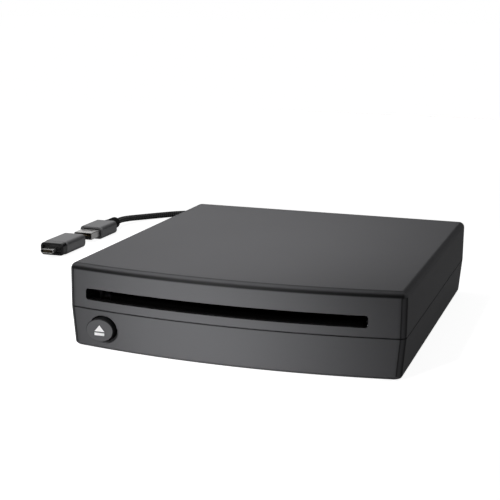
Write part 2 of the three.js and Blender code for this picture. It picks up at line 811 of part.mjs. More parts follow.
function deckFrame() {
  const joined = [block(-wallOuter, wallOuter, deckFrontY, deckRearY, deckBottom, deckTop)];
  const screws = screwPlaces.map(({ x, y }) => ({ x: x - slotX, y: y - spindleY }));
  for (const { x, y } of screws) {
    const outward = Math.sign(x);
    const inner = outward * Math.min(wallOuter - earOverlap, Math.abs(x) - earHalf);
    const xEnds = [x + outward * earHalf, inner].sort((a, b) => a - b);
    const edgeY = y < 0 ? deckFrontY + earOverlap : deckRearY - earOverlap;
    const yEnds = [y + Math.sign(y) * earHalf, edgeY].sort((a, b) => a - b);
    joined.push(block(xEnds[0], xEnds[1], yEnds[0], yEnds[1], deckBottom, deckTop));
  }
  for (const side of [-1, 1]) {
    const walls = [side * sideWallX, side * wallOuter].sort((a, b) => a - b);
    joined.push(block(walls[0], walls[1], deckFrontY, sideWallRearY, deckBottom, sideWallTop));
    const uprights = [side * uprightX, side * (uprightX + sheet)].sort((a, b) => a - b);
    joined.push(block(uprights[0], uprights[1], hingeY - uprightLength / 2, hingeY + uprightLength / 2,
      deckBottom, hingeZ + uprightRise));
  }
  joined.push(rod('x', idlerPinRadius, sideWallX + sheet / 2, pulleyTo + fitGap, idlerY, idlerZ));
  for (const { x, y } of damperPlaces) {
    joined.push(rod('z', damperPinRadius, deckBottom + sheet / 2, deckTop + damperPinHeight, x, y));
  }
  const removed = screws.map(({ x, y }) => rod('z', screwRadius + fitGap, deckBottom - overrun,
    deckTop + overrun, x, y));
  removed.push(block(-deckWindowLeft, deckWindowRight, -deckWindowFrontReach, deckWindowRearY,
    deckBottom - overrun, deckTop + overrun));
  removed.push(rod('x', shaftRadius + fitGap, -wallOuter - overrun, wallOuter + overrun, rollerY, rollerZ));
  removed.push(rod('x', motorBossHole, sideWallX - overrun, wallOuter + overrun, motorY, motorZ));
  removed.push(rod('x', hingePinRadius + fitGap, -uprightX - sheet - overrun, uprightX + sheet + overrun,
    hingeY, hingeZ));
  return carve(joined, removed);
}

// Half the angle of a gear tooth at a radius, along an involute flank.
function toothHalfAngle(radius, pitchRadius, teeth) {
  const baseRadius = pitchRadius * Math.cos(pressureAngle);
  const involute = (angle) => Math.tan(angle) - angle;
  const here = Math.acos(Math.min(1, baseRadius / radius));
  const atPitch = Math.PI / (2 * teeth) - toothPlay / (2 * pitchRadius);
  return atPitch + involute(pressureAngle) - involute(here);
}

// A spur gear outline with one tooth centred at the angle given.
function gearShape(teeth, centreAngle, boreRadius) {
  const pitchRadius = (gearModule * teeth) / 2;
  const rootRadius = pitchRadius - gearModule * dedendumShare;
  const tipRadius = pitchRadius + gearModule * addendumShare;
  const flankFoot = Math.max(rootRadius, pitchRadius * Math.cos(pressureAngle));
  const flankRadii = [flankFoot, tipRadius];
  const shape = new THREE.Shape();
  const at = (radius, angle) => [radius * Math.cos(angle), radius * Math.sin(angle)];
  for (let i = 0; i < teeth; i += 1) {
    const middle = centreAngle + (2 * Math.PI * i) / teeth;
    const rootHalf = toothHalfAngle(flankFoot, pitchRadius, teeth);
    const points = [at(rootRadius, middle - rootHalf)];
    for (const radius of flankRadii) {
      points.push(at(radius, middle - toothHalfAngle(radius, pitchRadius, teeth)));
    }
    for (const radius of flankRadii.toReversed()) {
      points.push(at(radius, middle + toothHalfAngle(radius, pitchRadius, teeth)));
    }
    points.push(at(rootRadius, middle + rootHalf));
    points.forEach(([x, y], k) => (i + k === 0 ? shape.moveTo(x, y) : shape.lineTo(x, y)));
  }
  shape.closePath();
  shape.holes.push(new THREE.Path().absarc(0, 0, boreRadius, 0, 2 * Math.PI, true));
  return shape;
}

// A grooved pulley's profile along its axis.
function pulleyProfile(grooveRadius, inner) {
  const rim = grooveRadius + grooveDepth;
  return [[inner, pulleyFrom], [rim, pulleyFrom], [rim, pulleyFrom + pulleyFlange],
    [grooveRadius, pulleyFrom + pulleyFlange], [grooveRadius, pulleyTo - pulleyFlange],
    [rim, pulleyTo - pulleyFlange], [rim, pulleyTo], [inner, pulleyTo]];
}

// The outline round two circles and their outer tangents, as the belt runs.
function beltLoop(radiusA, radiusB, Path) {
  const across = new THREE.Vector2(motorY - idlerY, motorZ - idlerZ);
  const direction = across.angle();
  const lean = Math.acos((radiusA - radiusB) / across.length());
  const loop = new Path();
  loop.absarc(idlerY, idlerZ, radiusA, direction + lean, direction - lean + 2 * Math.PI);
  loop.absarc(motorY, motorZ, radiusB, direction - lean, direction + lean);
  loop.closePath();
  return loop;
}

function addLoader() {
  const shaftBore = shaftRadius + fitGap;
  const rollerProfile = [[shaftBore, -rollerHalfLength], [rollerEndRadius, -rollerHalfLength],
    [rollerMiddleRadius, 0], [rollerEndRadius, rollerHalfLength], [shaftBore, rollerHalfLength],
    [shaftBore, -rollerHalfLength]];
  addMesh(deck, 'loading_roller', weld(turn('x', rollerProfile)), rubber, 0, rollerY, rollerZ);
  const shaft = rod('x', shaftRadius, -wallOuter - shaftOverhang, gearTo + fitGap);
  addMesh(deck, 'roller_shaft', weld(shaft), steel, 0, rollerY, rollerZ);
  const rollerGear = push('x', gearShape(rollerTeeth, idlerAngle, shaftBore), gearFrom, gearTo,
    circleCurveSteps);
  addMesh(deck, 'roller_gear', weld(rollerGear), nylonWhite, 0, rollerY, rollerZ);

  const pinBore = idlerPinRadius + fitGap;
  const pinionPhase = idlerAngle + Math.PI + Math.PI / pinionTeeth;
  const pinion = push('x', gearShape(pinionTeeth, pinionPhase, pinBore), gearFrom, gearTo + pulleyGap / 2,
    circleCurveSteps);
  const hub = ring('x', pinBore, pinionPitch - gearModule * dedendumShare, gearTo, pulleyFrom + pulleyFlange);
  const bigProfile = pulleyProfile(bigGrooveRadius, pinBore);
  const bigPulley = turn('x', [...bigProfile, bigProfile[0]]);
  addMesh(deck, 'idler_pulley', carve([pinion, hub, bigPulley]), nylonWhite, 0, idlerY, idlerZ);

  const motorFace = sideWallX - fitGap;
  const smallProfile = pulleyProfile(smallGrooveRadius, 0).slice(1);
  const shaftFoot = motorFace - motorShaftDepth;
  const pulleyAndShaft = turn('x', [[0, shaftFoot], [motorShaftRadius, shaftFoot],
    [motorShaftRadius, pulleyFrom], ...smallProfile], 0, 0, smallSides);
  addMesh(deck, 'motor_pulley', weld(pulleyAndShaft), steel, 0, motorY, motorZ);

  const flatAngle = Math.asin(motorHalfHeight / motorRadius);
  const section = new THREE.Shape();
  section.absarc(0, 0, motorRadius, -flatAngle, flatAngle);
  section.absarc(0, 0, motorRadius, Math.PI - flatAngle, Math.PI + flatAngle);
  section.closePath();
  const can = push('x', section, motorFace - motorLength, motorFace, circleCurveSteps);
  const socket = rod('x', motorShaftRadius + fitGap, shaftFoot - fitGap, motorFace + overrun);
  addMesh(deck, 'loading_motor', carve([can], [socket]), steel, 0, motorY, motorZ);

  const inner = [bigGrooveRadius + fitGap, smallGrooveRadius + fitGap];
  const belt = beltLoop(inner[0] + beltThickness, inner[1] + beltThickness, THREE.Shape);
  belt.holes.push(beltLoop(inner[0], inner[1], THREE.Path));
  const beltMiddle = (pulleyFrom + pulleyTo) / 2;
  const beltSolid = push('x', belt, beltMiddle - beltWidth / 2, beltMiddle + beltWidth / 2,
    circleCurveSteps);
  addMesh(deck, 'drive_belt', weld(beltSolid), rubber);

  const guideTop = sideWallTop + guideThickness;
  const guide = block(-wallOuter, wallOuter, deckFrontY, guideRearY, sideWallTop, guideTop);
  addMesh(deck, 'disc_guide', weld(guide), blackPlastic);
}

const rodZ = plateBottom - rodDrop;
const spindleMotorTop = plateBottom - fitGap;

function traversePlate() {
  const joined = [block(-plateLeft, plateRight, -plateFrontReach, plateRearY, plateBottom, plateTop)];
  const removed = [rod('z', spindleHole, plateBottom - overrun, plateTop + overrun)];
  removed.push(block(-lensWindowHalf, lensWindowHalf, lensWindowFrontY, lensWindowRearY,
    plateBottom - overrun, plateTop + overrun));
  const lugRows = [rodFrontY, plateRearY - lugThickness];
  for (const y of lugRows) {
    for (const side of [-1, 1]) {
      const x = side * rodX;
      joined.push(block(x - lugHalf, x + lugHalf, y, y + lugThickness, rodZ - lugHalf / 2, plateTop));
    }
  }
  removed.push(...[-rodX, rodX].map((x) => rod('y', rodRadius + fitGap, rodFrontY - overrun,
    plateRearY + overrun, x, rodZ)));
  for (const y of [feedMotorFaceY + fitGap, plateRearY - lugThickness]) {
    joined.push(block(plateRight - lugThickness, screwDriveX + feedMotorRadius, y, y + lugThickness,
      driveZ - feedMotorRadius, plateTop));
  }
  removed.push(rod('y', rodRadius + fitGap, feedMotorFaceY, plateRearY + overrun, screwDriveX, driveZ));
  for (const { x, y } of damperPlaces) {
    const ear = damperRadius + fitGap;
    if (x > plateRight) {
      joined.push(block(plateRight - ear, x + ear, y - ear, y + ear, plateBottom, plateTop));
    }
  }
  return carve(joined, removed);
}

function addTraverse() {
  addMesh(deck, 'traverse_plate', traversePlate(), steel);
  damperPlaces.forEach(({ x, y }, i) => {
    const height = plateBottom - deckTop;
    const neck = (damperRadius + damperPinRadius) / 2 + fitGap;
    const bore = damperPinRadius + fitGap;
    const third = height / 3;
    const half = height / 2;
    const profile = [[bore, 0], [damperRadius, 0], [damperRadius, third], [neck, third], [neck, 2 * third],
      [damperRadius, 2 * third], [damperRadius, height], [0, height], [0, half], [bore, half], [bore, 0]];
    const damper = turn('z', profile, 0, 0, smallSides);
    addMesh(deck, `traverse_damper_${i + 1}`, weld(damper), rubber, x, y, deckTop);
  });
  const motorBottom = spindleMotorTop - spindleMotorHeight;
  const shaftFoot = spindleMotorTop - spindleShaftDepth;
  const can = rod('z', spindleMotorRadius, motorBottom, spindleMotorTop, 0, 0, roundSides);
  const socket = rod('z', spindleShaftRadius + fitGap, shaftFoot - fitGap, spindleMotorTop + overrun);
  addMesh(deck, 'spindle_motor', carve([can], [socket]), darkSteel);
  const platterFoot = discBottom - platterThickness;
  const profile = [[0, shaftFoot], [spindleShaftRadius, shaftFoot], [spindleShaftRadius, platterFoot],
    [platterRadius, platterFoot], [platterRadius, discBottom], [hubRadius, discBottom],
    [hubRadius, discBottom + hubRise], [hubTopRadius, discBottom + hubHeight], [0, discBottom + hubHeight]];
  addMesh(deck, 'turntable', weld(turn('z', profile)), blackPlastic);

  for (const [name, x] of [['guide_rod_left', -rodX], ['guide_rod_right', rodX]]) {
    const bar = rod('y', rodRadius, rodFrontY, plateRearY);
    addMesh(deck, name, weld(bar), steel, x, 0, rodZ);
  }
  const feedCan = rod('y', feedMotorRadius, feedMotorFaceY - feedMotorLength, feedMotorFaceY);
  const feedSocket = rod('y', rodRadius + fitGap, feedMotorFaceY - feedShaftDepth - fitGap,
    feedMotorFaceY + overrun);
  addMesh(deck, 'feed_motor', carve([feedCan], [feedSocket]), steel, screwDriveX, 0, driveZ);
  const lead = rod('y', rodRadius, feedMotorFaceY - feedShaftDepth, plateRearY);
  addMesh(deck, 'lead_screw', weld(lead), steel, screwDriveX, 0, driveZ);
  addPickup();
}

function addPickup() {
  const sledTop = plateBottom - sledGap;
  const sledFront = sledY - sledLength / 2;
  const sledRear = sledY + sledLength / 2;
  const body = block(-sledHalfWidth, sledHalfWidth, sledFront, sledRear, sledTop - sledHeight, sledTop);
  const armHalf = sledArmLength / 2;
  const arm = block(sledHalfWidth - overrun, sledArmReach, sledY - armHalf, sledY + armHalf,
    sledTop - sledHeight, sledTop);
  const bores = [[-rodX, rodZ], [rodX, rodZ], [screwDriveX, driveZ]].map(([x, z]) => rod('y',
    rodRadius + fitGap, sledFront - overrun, sledRear + overrun, x, z));
  addMesh(deck, 'pickup_sled', carve([body, arm], bores), blackPlastic);
  const holderFoot = sledTop + holderGap;
  const holderTop = holderFoot + holderHeight;
  const holder = block(-holderHalf, holderHalf, sledY - holderLength / 2, sledY + holderLength / 2,
    holderFoot, holderTop);
  const lensFoot = holderTop + lensStandOut - lensThickness;
  const pocket = rod('z', lensRadius + fitGap, lensFoot - fitGap, holderTop + overrun, 0, sledY);
  addMesh(deck, 'lens_holder', carve([holder], [pocket]), blackPlastic);
  const lens = rod('z', lensRadius, lensFoot, lensFoot + lensThickness);
  addMesh(deck, 'pickup_lens', weld(lens), lensGlass, 0, sledY, 0);
}

// The arm carries the clamper over the turntable and swings down on its pin.
function addClamp() {
  const armBottom = hingeZ - armThickness / 2;
  const armTop = hingeZ + armThickness / 2;
  const earOuter = uprightX - armEarGap;
  const barRear = hingeY - armBarGap;
  const barFront = barRear - armBarLength;
  const stem = block(-armHalfWidth, armHalfWidth, 0, barRear, armBottom, armTop);
  const pad = rod('z', armPadRadius, armBottom, armTop, 0, 0, roundSides);
  const bar = block(-earOuter, earOuter, barFront, barRear, armBottom, armTop);
  const ears = [-1, 1].map((side) => {
    const ends = [side * earOuter, side * (earOuter - sheet)].sort((a, b) => a - b);
    return block(ends[0], ends[1], barFront, hingeY + armBarGap, hingeZ - armEarHalfHeight,
      hingeZ + armEarHalfHeight);
  });
  const neckHole = rod('z', clamperNeckRadius + neckGap, armBottom - overrun, armTop + overrun);
  const pinHole = rod('x', hingePinRadius + fitGap, -earOuter - overrun, earOuter + overrun, hingeY, hingeZ);
  addMesh(deck, 'clamp_arm', carve([stem, pad, bar, ...ears], [neckHole, pinHole]), steel);
  const pinEnd = uprightX + sheet + fitGap;
  addMesh(deck, 'clamp_pin', weld(rod('x', hingePinRadius, -pinEnd, pinEnd)), steel, 0, hingeY, hingeZ);
  const springEnd = clampSpringX + clampSpringLength;
  const spring = ring('x', hingePinRadius + fitGap, clampSpringRadius, clampSpringX, springEnd,
    0, 0, smallSides);
  addMesh(deck, 'clamp_spring', weld(spring), darkSteel, 0, hingeY, hingeZ);

  const discFoot = armBottom - fitGap - clamperThickness;
  const capFoot = armTop + fitGap;
  const recess = hubRadius + clamperHubRoom;
  const recessTop = discFoot + clamperRecess;
  const discTop = armBottom - fitGap;
  const capTop = capFoot + clamperCapThickness;
  const profile = [[0, recessTop], [recess, recessTop], [recess, discFoot], [clamperRadius, discFoot],
    [clamperRadius, discTop], [clamperNeckRadius, discTop], [clamperNeckRadius, capFoot],
    [clamperCapRadius, capFoot], [clamperCapRadius, capTop], [0, capTop]];
  addMesh(deck, 'clamper', weld(turn('z', profile)), nylonWhite);
}

// The gland grips the rear wall between two flanges and tapers along the lead.
const glandEndY = backY + glandLength;
function glandFaces() {
  const wallOut = backY - endTaper * taperShare(glandZ());
  const innerFace = wallOut - wall - glandWallGap;
  const outerFace = wallOut + glandWallGap;
  const inner = innerFace - glandFlangeThickness;
  const outer = outerFace + glandFlangeThickness;
  return { inner, innerFace, outerFace, outer };
}

function addGland() {
  const { inner, innerFace, outerFace, outer } = glandFaces();
  const profile = [[0, inner], [glandFlangeRadius, inner], [glandFlangeRadius, innerFace],
    [glandNeckRadius, innerFace], [glandNeckRadius, outerFace], [glandFlangeRadius, outerFace],
    [glandFlangeRadius, outer], [glandNeckRadius, outer], [glandEndRadius, glandEndY], [0, glandEndY]];
  addMesh(model, 'cord_gland', weld(turn('y', profile, glandX, glandZ())), rubber);
}

// The coil: a spiral in along the lower layer, a climb where it reverses, and out along the upper one.
const layerLow = floorGap + tieThickness + fitGap + cordRadius;
const layerHigh = layerLow + coilPitch;
function coilPoint(turns) {
  const inward = Math.min(turns, coilTurns - turns);
  const radius = coilOuterRadius - coilPitch * inward;
  const climb = THREE.MathUtils.smoothstep(turns, (coilTurns - climbTurns) / 2, (coilTurns + climbTurns) / 2);
  const angle = 2 * Math.PI * turns;
  return new THREE.Vector3(coilX + radius * Math.cos(angle), coilY + radius * Math.sin(angle),
    layerLow + coilPitch * climb);
}

function coilPath() {
  const points = [];
  const steps = coilTurns * coilSteps;
  for (let i = 0; i <= steps; i += 1) points.push(coilPoint(i / coilSteps));
  const straight = 2 * cordRadius;
  const first = points[0].clone().add(new THREE.Vector3(0, -straight, 0));
  const last = points.at(-1).clone().add(new THREE.Vector3(0, straight, 0));
  return [first, ...points, last];
}

// The closest that the coil's skin comes to a turn lying beside or on it.
function coilLeastGap(points) {
  let least = Infinity;
  const apart = coilSteps / 2;
  for (let i = 0; i < points.length; i += 1) {
    for (let j = i + apart; j < points.length; j += 1) {
      least = Math.min(least, points[i].distanceTo(points[j]) - 2 * cordRadius);
    }
  }
  return least;
}

// A tube of flat facets about a list of points, with its ends square to the Y axis.
function tubeAbout(points, radius, sides) {
  const rings = points.map((point, i) => {
    const before = points[Math.max(0, i - 1)];
    const after = points[Math.min(points.length - 1, i + 1)];
    const along = after.clone().sub(before).setZ(0).normalize();
    if (i <= 1 || i >= points.length - 2) along.set(0, 1, 0);
    const sideways = new THREE.Vector3().crossVectors(along, unitZ);
    return Array.from({ length: sides }, (_, k) => {
      const angle = (2 * Math.PI * (k + 1 / 2)) / sides;
      return point.clone().addScaledVector(sideways, radius * Math.cos(angle))
        .addScaledVector(unitZ, radius * Math.sin(angle));
    });
  });
  const positions = rings.flat().flatMap((point) => [point.x, point.y, point.z]);
  const index = [];
  for (let level = 0; level + 1 < rings.length; level += 1) {
    for (let k = 0; k < sides; k += 1) {
      const a = level * sides + k;
      const b = level * sides + ((k + 1) % sides);
      index.push(a, b + sides, b, a, a + sides, b + sides);
    }
  }
  const last = (rings.length - 1) * sides;
  for (let k = 1; k + 1 < sides; k += 1) {
    index.push(0, k, k + 1);
    index.push(last, last + k + 1, last + k);
  }
  const geometry = new THREE.BufferGeometry();
  geometry.setAttribute('position', new THREE.Float32BufferAttribute(positions, 3));
  geometry.setIndex(index);
  return geometry;
}

// A free stretch of the lead: a smooth curve through points chosen by hand.
function freeStretch(points, steps) {
  const curve = new THREE.CatmullRomCurve3(points.map(([x, y, z]) => new THREE.Vector3(x, y, z)));
  const section = new THREE.Shape();
  section.absarc(0, 0, cordRadius, 0, 2 * Math.PI);
  const options = { steps, extrudePath: curve, curveSegments: cordSides / 2 };
  return { geometry: new THREE.ExtrudeGeometry(section, options), length: curve.getLength() };
}

function addCord() {
  addGland();
  const lying = cordRadius + floorGap;
  const rise = glandZ();
  const coilStartX = coilX + coilOuterRadius;
  const coilStartY = coilY - 2 * cordRadius - fitGap;
  const nearPoints = [
    [glandX, glandEndY + fitGap, rise],
    [glandX, 103, rise],
    [-45.3, 108, rise - 0.7],
    [-46.8, 114.5, rise - 3],
    [-49.6, 121.5, rise - 5.6],
    [-52.9, 128.5, lying + 0.3],
    [-55.7, 134.5, lying + 0.3],
    [-56.9, 140.5, layerLow],
    [coilStartX, coilStartY, layerLow],
  ];
  const near = freeStretch(nearPoints, 9);
  addMesh(model, 'cord_near', weld(near.geometry), braid);

  const points = coilPath();
  addMesh(model, 'cord_coil', weld(tubeAbout(points, cordRadius, coilSides)), braid);
  const gap = coilLeastGap(points);

  const bootEndY = plugTipY + usbExposed + plugHousingLength + bootLength;
  const coilEndY = coilY + 2 * cordRadius + fitGap;
  const farPoints = [
    [coilStartX, coilEndY, layerHigh],
    [coilStartX, 162, layerHigh],
    [-57.3, 171, layerHigh - 0.9],
    [-58.2, 180, layerHigh - 3.2],
    [-60.2, 189, lying + 0.4],
    [-64, 199, lying],
    [-70.5, 210.5, lying],
    [-79.5, 221, lying],
    [-91, 229.5, lying],
    [-104.5, 235, lying],
    [-119, 236, lying],
    [-133, 232.2, lying],
    [-145.5, 224.5, lying],
    [-155.5, 214, lying],
    [-162.6, 202, lying + 0.5],
    [-166.6, 190.5, lying + 1.4],
    [plugX, 181, axisHeight],
    [plugX, bootEndY + fitGap, axisHeight],
  ];
  const far = freeStretch(farPoints, 26);
  addMesh(model, 'cord_far', weld(far.geometry), braid);

  const coilLength = points.slice(1).reduce((sum, point, i) => sum + point.distanceTo(points[i]), 0);
  const total = near.length + coilLength + far.length;
  console.log(`lead ${total.toFixed(0)} mm long, coil's least gap to itself ${gap.toFixed(2)} mm`);
  addTie();
}

// A twist tie round the coil's bundle, on the side away from where the lead comes and goes.
function addTie() {
  const bundleOut = coilOuterRadius - coilPitch * climbTurns + cordRadius + fitGap;
  const bundleIn = coilOuterRadius - (coilPitch * coilTurns) / 2 - cordRadius - fitGap;
  const low = layerLow - cordRadius - fitGap;
  const high = layerHigh + cordRadius + fitGap;
  const width = bundleOut - bundleIn;
  const middleX = coilX - (bundleOut + bundleIn) / 2;
  const middleZ = (low + high) / 2;
  const outline = roundRect(width + 2 * tieThickness, high - low + 2 * tieThickness, cordRadius,
    middleX, middleZ);
  outline.holes.push(roundRect(width, high - low, cordRadius - tieThickness, middleX, middleZ));
  const band = push('y', outline, coilY - tieWidth / 2, coilY + tieWidth / 2);
  const tailZ = high + tieThickness / 2 + tieTailRadius;
  const tailHalf = tieTailLength / 2;
  const tail = rod('x', tieTailRadius, middleX - tailHalf, middleX + tailHalf, coilY, tailZ);
  addMesh(model, 'cord_tie', carve([band, tail]), blackPlastic);
}

// A box with round side edges, lying along Y, its two ends bevelled.
function housingBody(length) {
  const flat = roundRect(housingWidth - 2 * housingBevel, housingHeight - 2 * housingBevel,
    housingCorner - housingBevel);
  const options = { depth: length - 2 * housingBevel, bevelThickness: housingBevel, bevelSize: housingBevel,
    bevelSegments: 1, curveSegments: cornerCurveSteps };
  const geometry = new THREE.ExtrudeGeometry(flat, options);
  return reframe(geometry, unitX, unitZ, unitY.clone().negate()).translate(0, length - housingBevel, 0);
}

function addPlug() {
  const plug = new THREE.Group();
  plug.position.set(plugX, plugTipY, axisHeight);
  model.add(plug);
  const housingRear = usbExposed + plugHousingLength;
  const socket = push('y', roundRect(usbWidth + 2 * fitGap, usbHeight + 2 * fitGap, usbCorner + fitGap),
    -overrun, usbSunk + fitGap);
  const tenonWidth = housingWidth - 2 * bootTenonInset;
  const tenonHeight = housingHeight - 2 * bootTenonInset;
  const mortise = push('y', roundRect(tenonWidth + 2 * fitGap, tenonHeight + 2 * fitGap, usbCorner + fitGap),
    plugHousingLength - bootTenon - fitGap, plugHousingLength + overrun);
  addMesh(plug, 'plug_housing', carve([housingBody(plugHousingLength)], [socket, mortise]), spaceGrey,
    0, usbExposed, 0);

  const outline = roundRect(usbWidth, usbHeight, usbCorner);
  outline.holes.push(roundRect(usbWidth - 2 * usbWall, usbHeight - 2 * usbWall, usbCorner - usbWall / 2));
  const tube = push('y', outline, 0, usbExposed + usbSunk);
  const halfHole = usbHoleSize / 2;
  const windows = [-1, 1].map((side) => block(side * usbHoleX - halfHole, side * usbHoleX + halfHole,
    usbHoleY - halfHole, usbHoleY + halfHole, -usbHeight, usbHeight));
  addMesh(plug, 'plug_shell', carve([tube], windows), nickel);
  const tongueHalf = usbWidth / 2 - usbWall - usbTongueInset / 2;
  const tongueFoot = usbWall - usbHeight / 2;
  const tongue = block(-tongueHalf, tongueHalf, usbTongueInset, usbExposed + usbSunk, tongueFoot,
    tongueFoot + usbTongueThickness);
  addMesh(plug, 'plug_tongue', weld(tongue), blackPlastic);
  addMesh(plug, 'plug_boot', plugBoot(tenonWidth, tenonHeight), rubber, 0, housingRear, 0);
}

// The boot flares from a round neck round the lead to the housing's rear face.
function plugBoot(tenonWidth, tenonHeight) {
  const count = roundSides;
  const ringAt = (y, halfW, halfH, power) => Array.from({ length: count }, (_, i) => {
    const angle = (2 * Math.PI * i) / count;
    const [c, s] = [Math.cos(angle), Math.sin(angle)];
    const x = Math.sign(c) * Math.abs(c) ** power * halfW;
    const z = Math.sign(s) * Math.abs(s) ** power * halfH;
    return new THREE.Vector3(x, z, y);
  });
  const wideW = housingWidth / 2 - bootInset;
  const wideH = housingHeight / 2 - bootInset;
  const squareness = 1 / 2;
  const rings = [];
  for (let i = 0; i <= bootFlareSteps; i += 1) {
    const share = i / bootFlareSteps;
    const ease = (1 - share) ** 2;
    const power = 1 - (1 - squareness) * ease;
    rings.push(ringAt(fitGap + (bootFlareLength - fitGap) * share, bootRadius + (wideW - bootRadius) * ease,
      bootRadius + (wideH - bootRadius) * ease, power));
  }
  for (let i = 0; i <= arcSteps; i += 1) {
    const angle = (Math.PI / 2) * (i / arcSteps);
    const radius = bootRadius - bootEndRadius * (1 - Math.cos(angle));
    rings.push(ringAt(bootLength - bootEndRadius * (1 - Math.sin(angle)), radius, radius, 1));
  }
  const body = reframe(loft(rings), unitX, unitZ.clone().negate(), unitY);
  const tenon = push('y', roundRect(tenonWidth, tenonHeight, usbCorner), -bootTenon, bootFlareLength / 2);
  return carve([body, tenon]);
}

// The adapter is placed by the front of its collar; its socket faces the plug.
function addAdapter() {
  const adapter = new THREE.Group();
  const housingFront = collarLength + fitGap;
  const rearFace = housingFront + adapterLength;
  adapter.position.set(plugX, plugTipY - adapterGap - rearFace, axisHeight);
  model.add(adapter);
  const boreWidth = usbWidth + 2 * fitGap;
  const boreHeight = usbHeight + 2 * fitGap;
  const bore = push('y', roundRect(boreWidth, boreHeight, usbCorner + fitGap), -overrun,
    adapterLength + overrun);
  addMesh(adapter, 'adapter_housing', carve([housingBody(adapterLength)], [bore]), spaceGrey,
    0, housingFront, 0);

  const neckEnd = rearFace - usbExposed - 2 * fitGap;
  const collarWidth = housingWidth - 2 * collarInset;
  const collarHeight = housingHeight - 2 * collarInset;
  const rim = push('y', roundRect(collarWidth, collarHeight, collarCorner), 0, collarLength);
  const trayWidth = collarWidth - 2 * collarLip;
  const trayHeight = collarHeight - 2 * collarLip;
  const trayCorner = collarCorner - collarLip;
  const tray = push('y', roundRect(trayWidth, trayHeight, trayCorner), -overrun, collarStep);
  const neck = push('y', roundRect(usbWidth, usbHeight, usbCorner), collarLength / 2, neckEnd);
  const tongueHalf = usbWidth / 2 - usbWall - usbTongueInset;
  const tongue = block(-tongueHalf, tongueHalf, neckEnd - overrun, neckEnd + socketTongueLength,
    socketTongueRise, socketTongueRise + socketTongue);
  const seatHeight = usbCHeight + 2 * fitGap;
  const seatOutline = roundRect(usbCWidth + 2 * fitGap, seatHeight, seatHeight / 2 - usbCFlat);
  const seat = push('y', seatOutline, -overrun, collarStep + usbCSunk);
  addMesh(adapter, 'adapter_core', carve([rim, neck, tongue], [tray, seat]), blackPlastic);

  const shellRear = collarStep + usbCSunk - fitGap;
  const oval = roundRect(usbCWidth, usbCHeight, usbCHeight / 2 - usbCFlat);
  const innerWidth = usbCWidth - 2 * usbCWall;
  const innerHeight = usbCHeight - 2 * usbCWall;
  oval.holes.push(roundRect(innerWidth, innerHeight, innerHeight / 2 - usbCFlat));
  addMesh(adapter, 'usb_c_shell', weld(push('y', oval, -usbCExposed, shellRear)), nickel);
  const insertHeight = innerHeight - 2 * usbCInsertGap;
  const insert = roundRect(innerWidth - 2 * usbCInsertGap, insertHeight, insertHeight / 3);
  addMesh(adapter, 'usb_c_insert', weld(push('y', insert, -usbCExposed + usbCInsertSetback, shellRear)),
    blackPlastic);
}

addCase();
addEject();
addMainBoard();
addMesh(deck, 'deck_frame', deckFrame(), steel);
addLoader();
addTraverse();
addClamp();
addCord();
addPlug();
addAdapter();

export default model;
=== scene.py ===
"""Looks of the slot-in disc player. Lengths are millimetres, apart from the camera's and the lamps'."""
import json
import math

import bmesh
import bpy
from mathutils import Matrix, Vector


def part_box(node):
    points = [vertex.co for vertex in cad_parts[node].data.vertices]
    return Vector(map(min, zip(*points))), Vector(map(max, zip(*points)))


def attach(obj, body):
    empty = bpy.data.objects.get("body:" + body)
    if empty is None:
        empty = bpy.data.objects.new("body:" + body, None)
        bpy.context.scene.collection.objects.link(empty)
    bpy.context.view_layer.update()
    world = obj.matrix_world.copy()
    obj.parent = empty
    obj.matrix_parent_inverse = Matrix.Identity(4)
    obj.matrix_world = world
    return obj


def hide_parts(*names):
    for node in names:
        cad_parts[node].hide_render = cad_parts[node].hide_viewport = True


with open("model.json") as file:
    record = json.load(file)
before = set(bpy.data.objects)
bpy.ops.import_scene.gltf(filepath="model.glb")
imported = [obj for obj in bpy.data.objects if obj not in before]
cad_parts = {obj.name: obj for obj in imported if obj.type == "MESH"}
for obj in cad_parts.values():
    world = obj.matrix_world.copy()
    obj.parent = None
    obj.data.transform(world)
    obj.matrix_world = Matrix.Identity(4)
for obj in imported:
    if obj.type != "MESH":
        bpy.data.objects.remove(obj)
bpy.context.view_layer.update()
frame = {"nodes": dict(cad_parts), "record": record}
MM = 0.001

# Camera: the photograph's own view, found from the corners of the case. Place in metres, turns in degrees
CAMERA_PLACE = (0.155918, -0.523376, 0.153804)
CAMERA_YAW = 18.2458
CAMERA_PITCH = 12.4150
CAMERA_ROLL = 0.6308
CAMERA_LENS = 83.74


def add_camera():
    """A camera turned left by its yaw, down by its pitch and leaning by its roll."""
    yaw, pitch, roll = (math.radians(turn) for turn in (CAMERA_YAW, CAMERA_PITCH, CAMERA_ROLL))
    flat = math.cos(pitch)
    ahead = Vector((-math.sin(yaw) * flat, math.cos(yaw) * flat, -math.sin(pitch)))
    level = Vector((math.cos(yaw), math.sin(yaw), 0))
    above = level.cross(ahead)
    right = math.cos(roll) * level + math.sin(roll) * above
    up = math.cos(roll) * above - math.sin(roll) * level
    data = bpy.data.cameras.new("camera")
    data.sensor_width = 36
    data.lens = CAMERA_LENS
    data.clip_start = 0.01
    camera = bpy.data.objects.new("camera", data)
    bpy.context.scene.collection.objects.link(camera)
    placed = Matrix((right, up, -ahead)).transposed().to_4x4()
    placed.translation = CAMERA_PLACE
    camera.matrix_world = placed
    bpy.context.scene.camera = camera


add_camera()


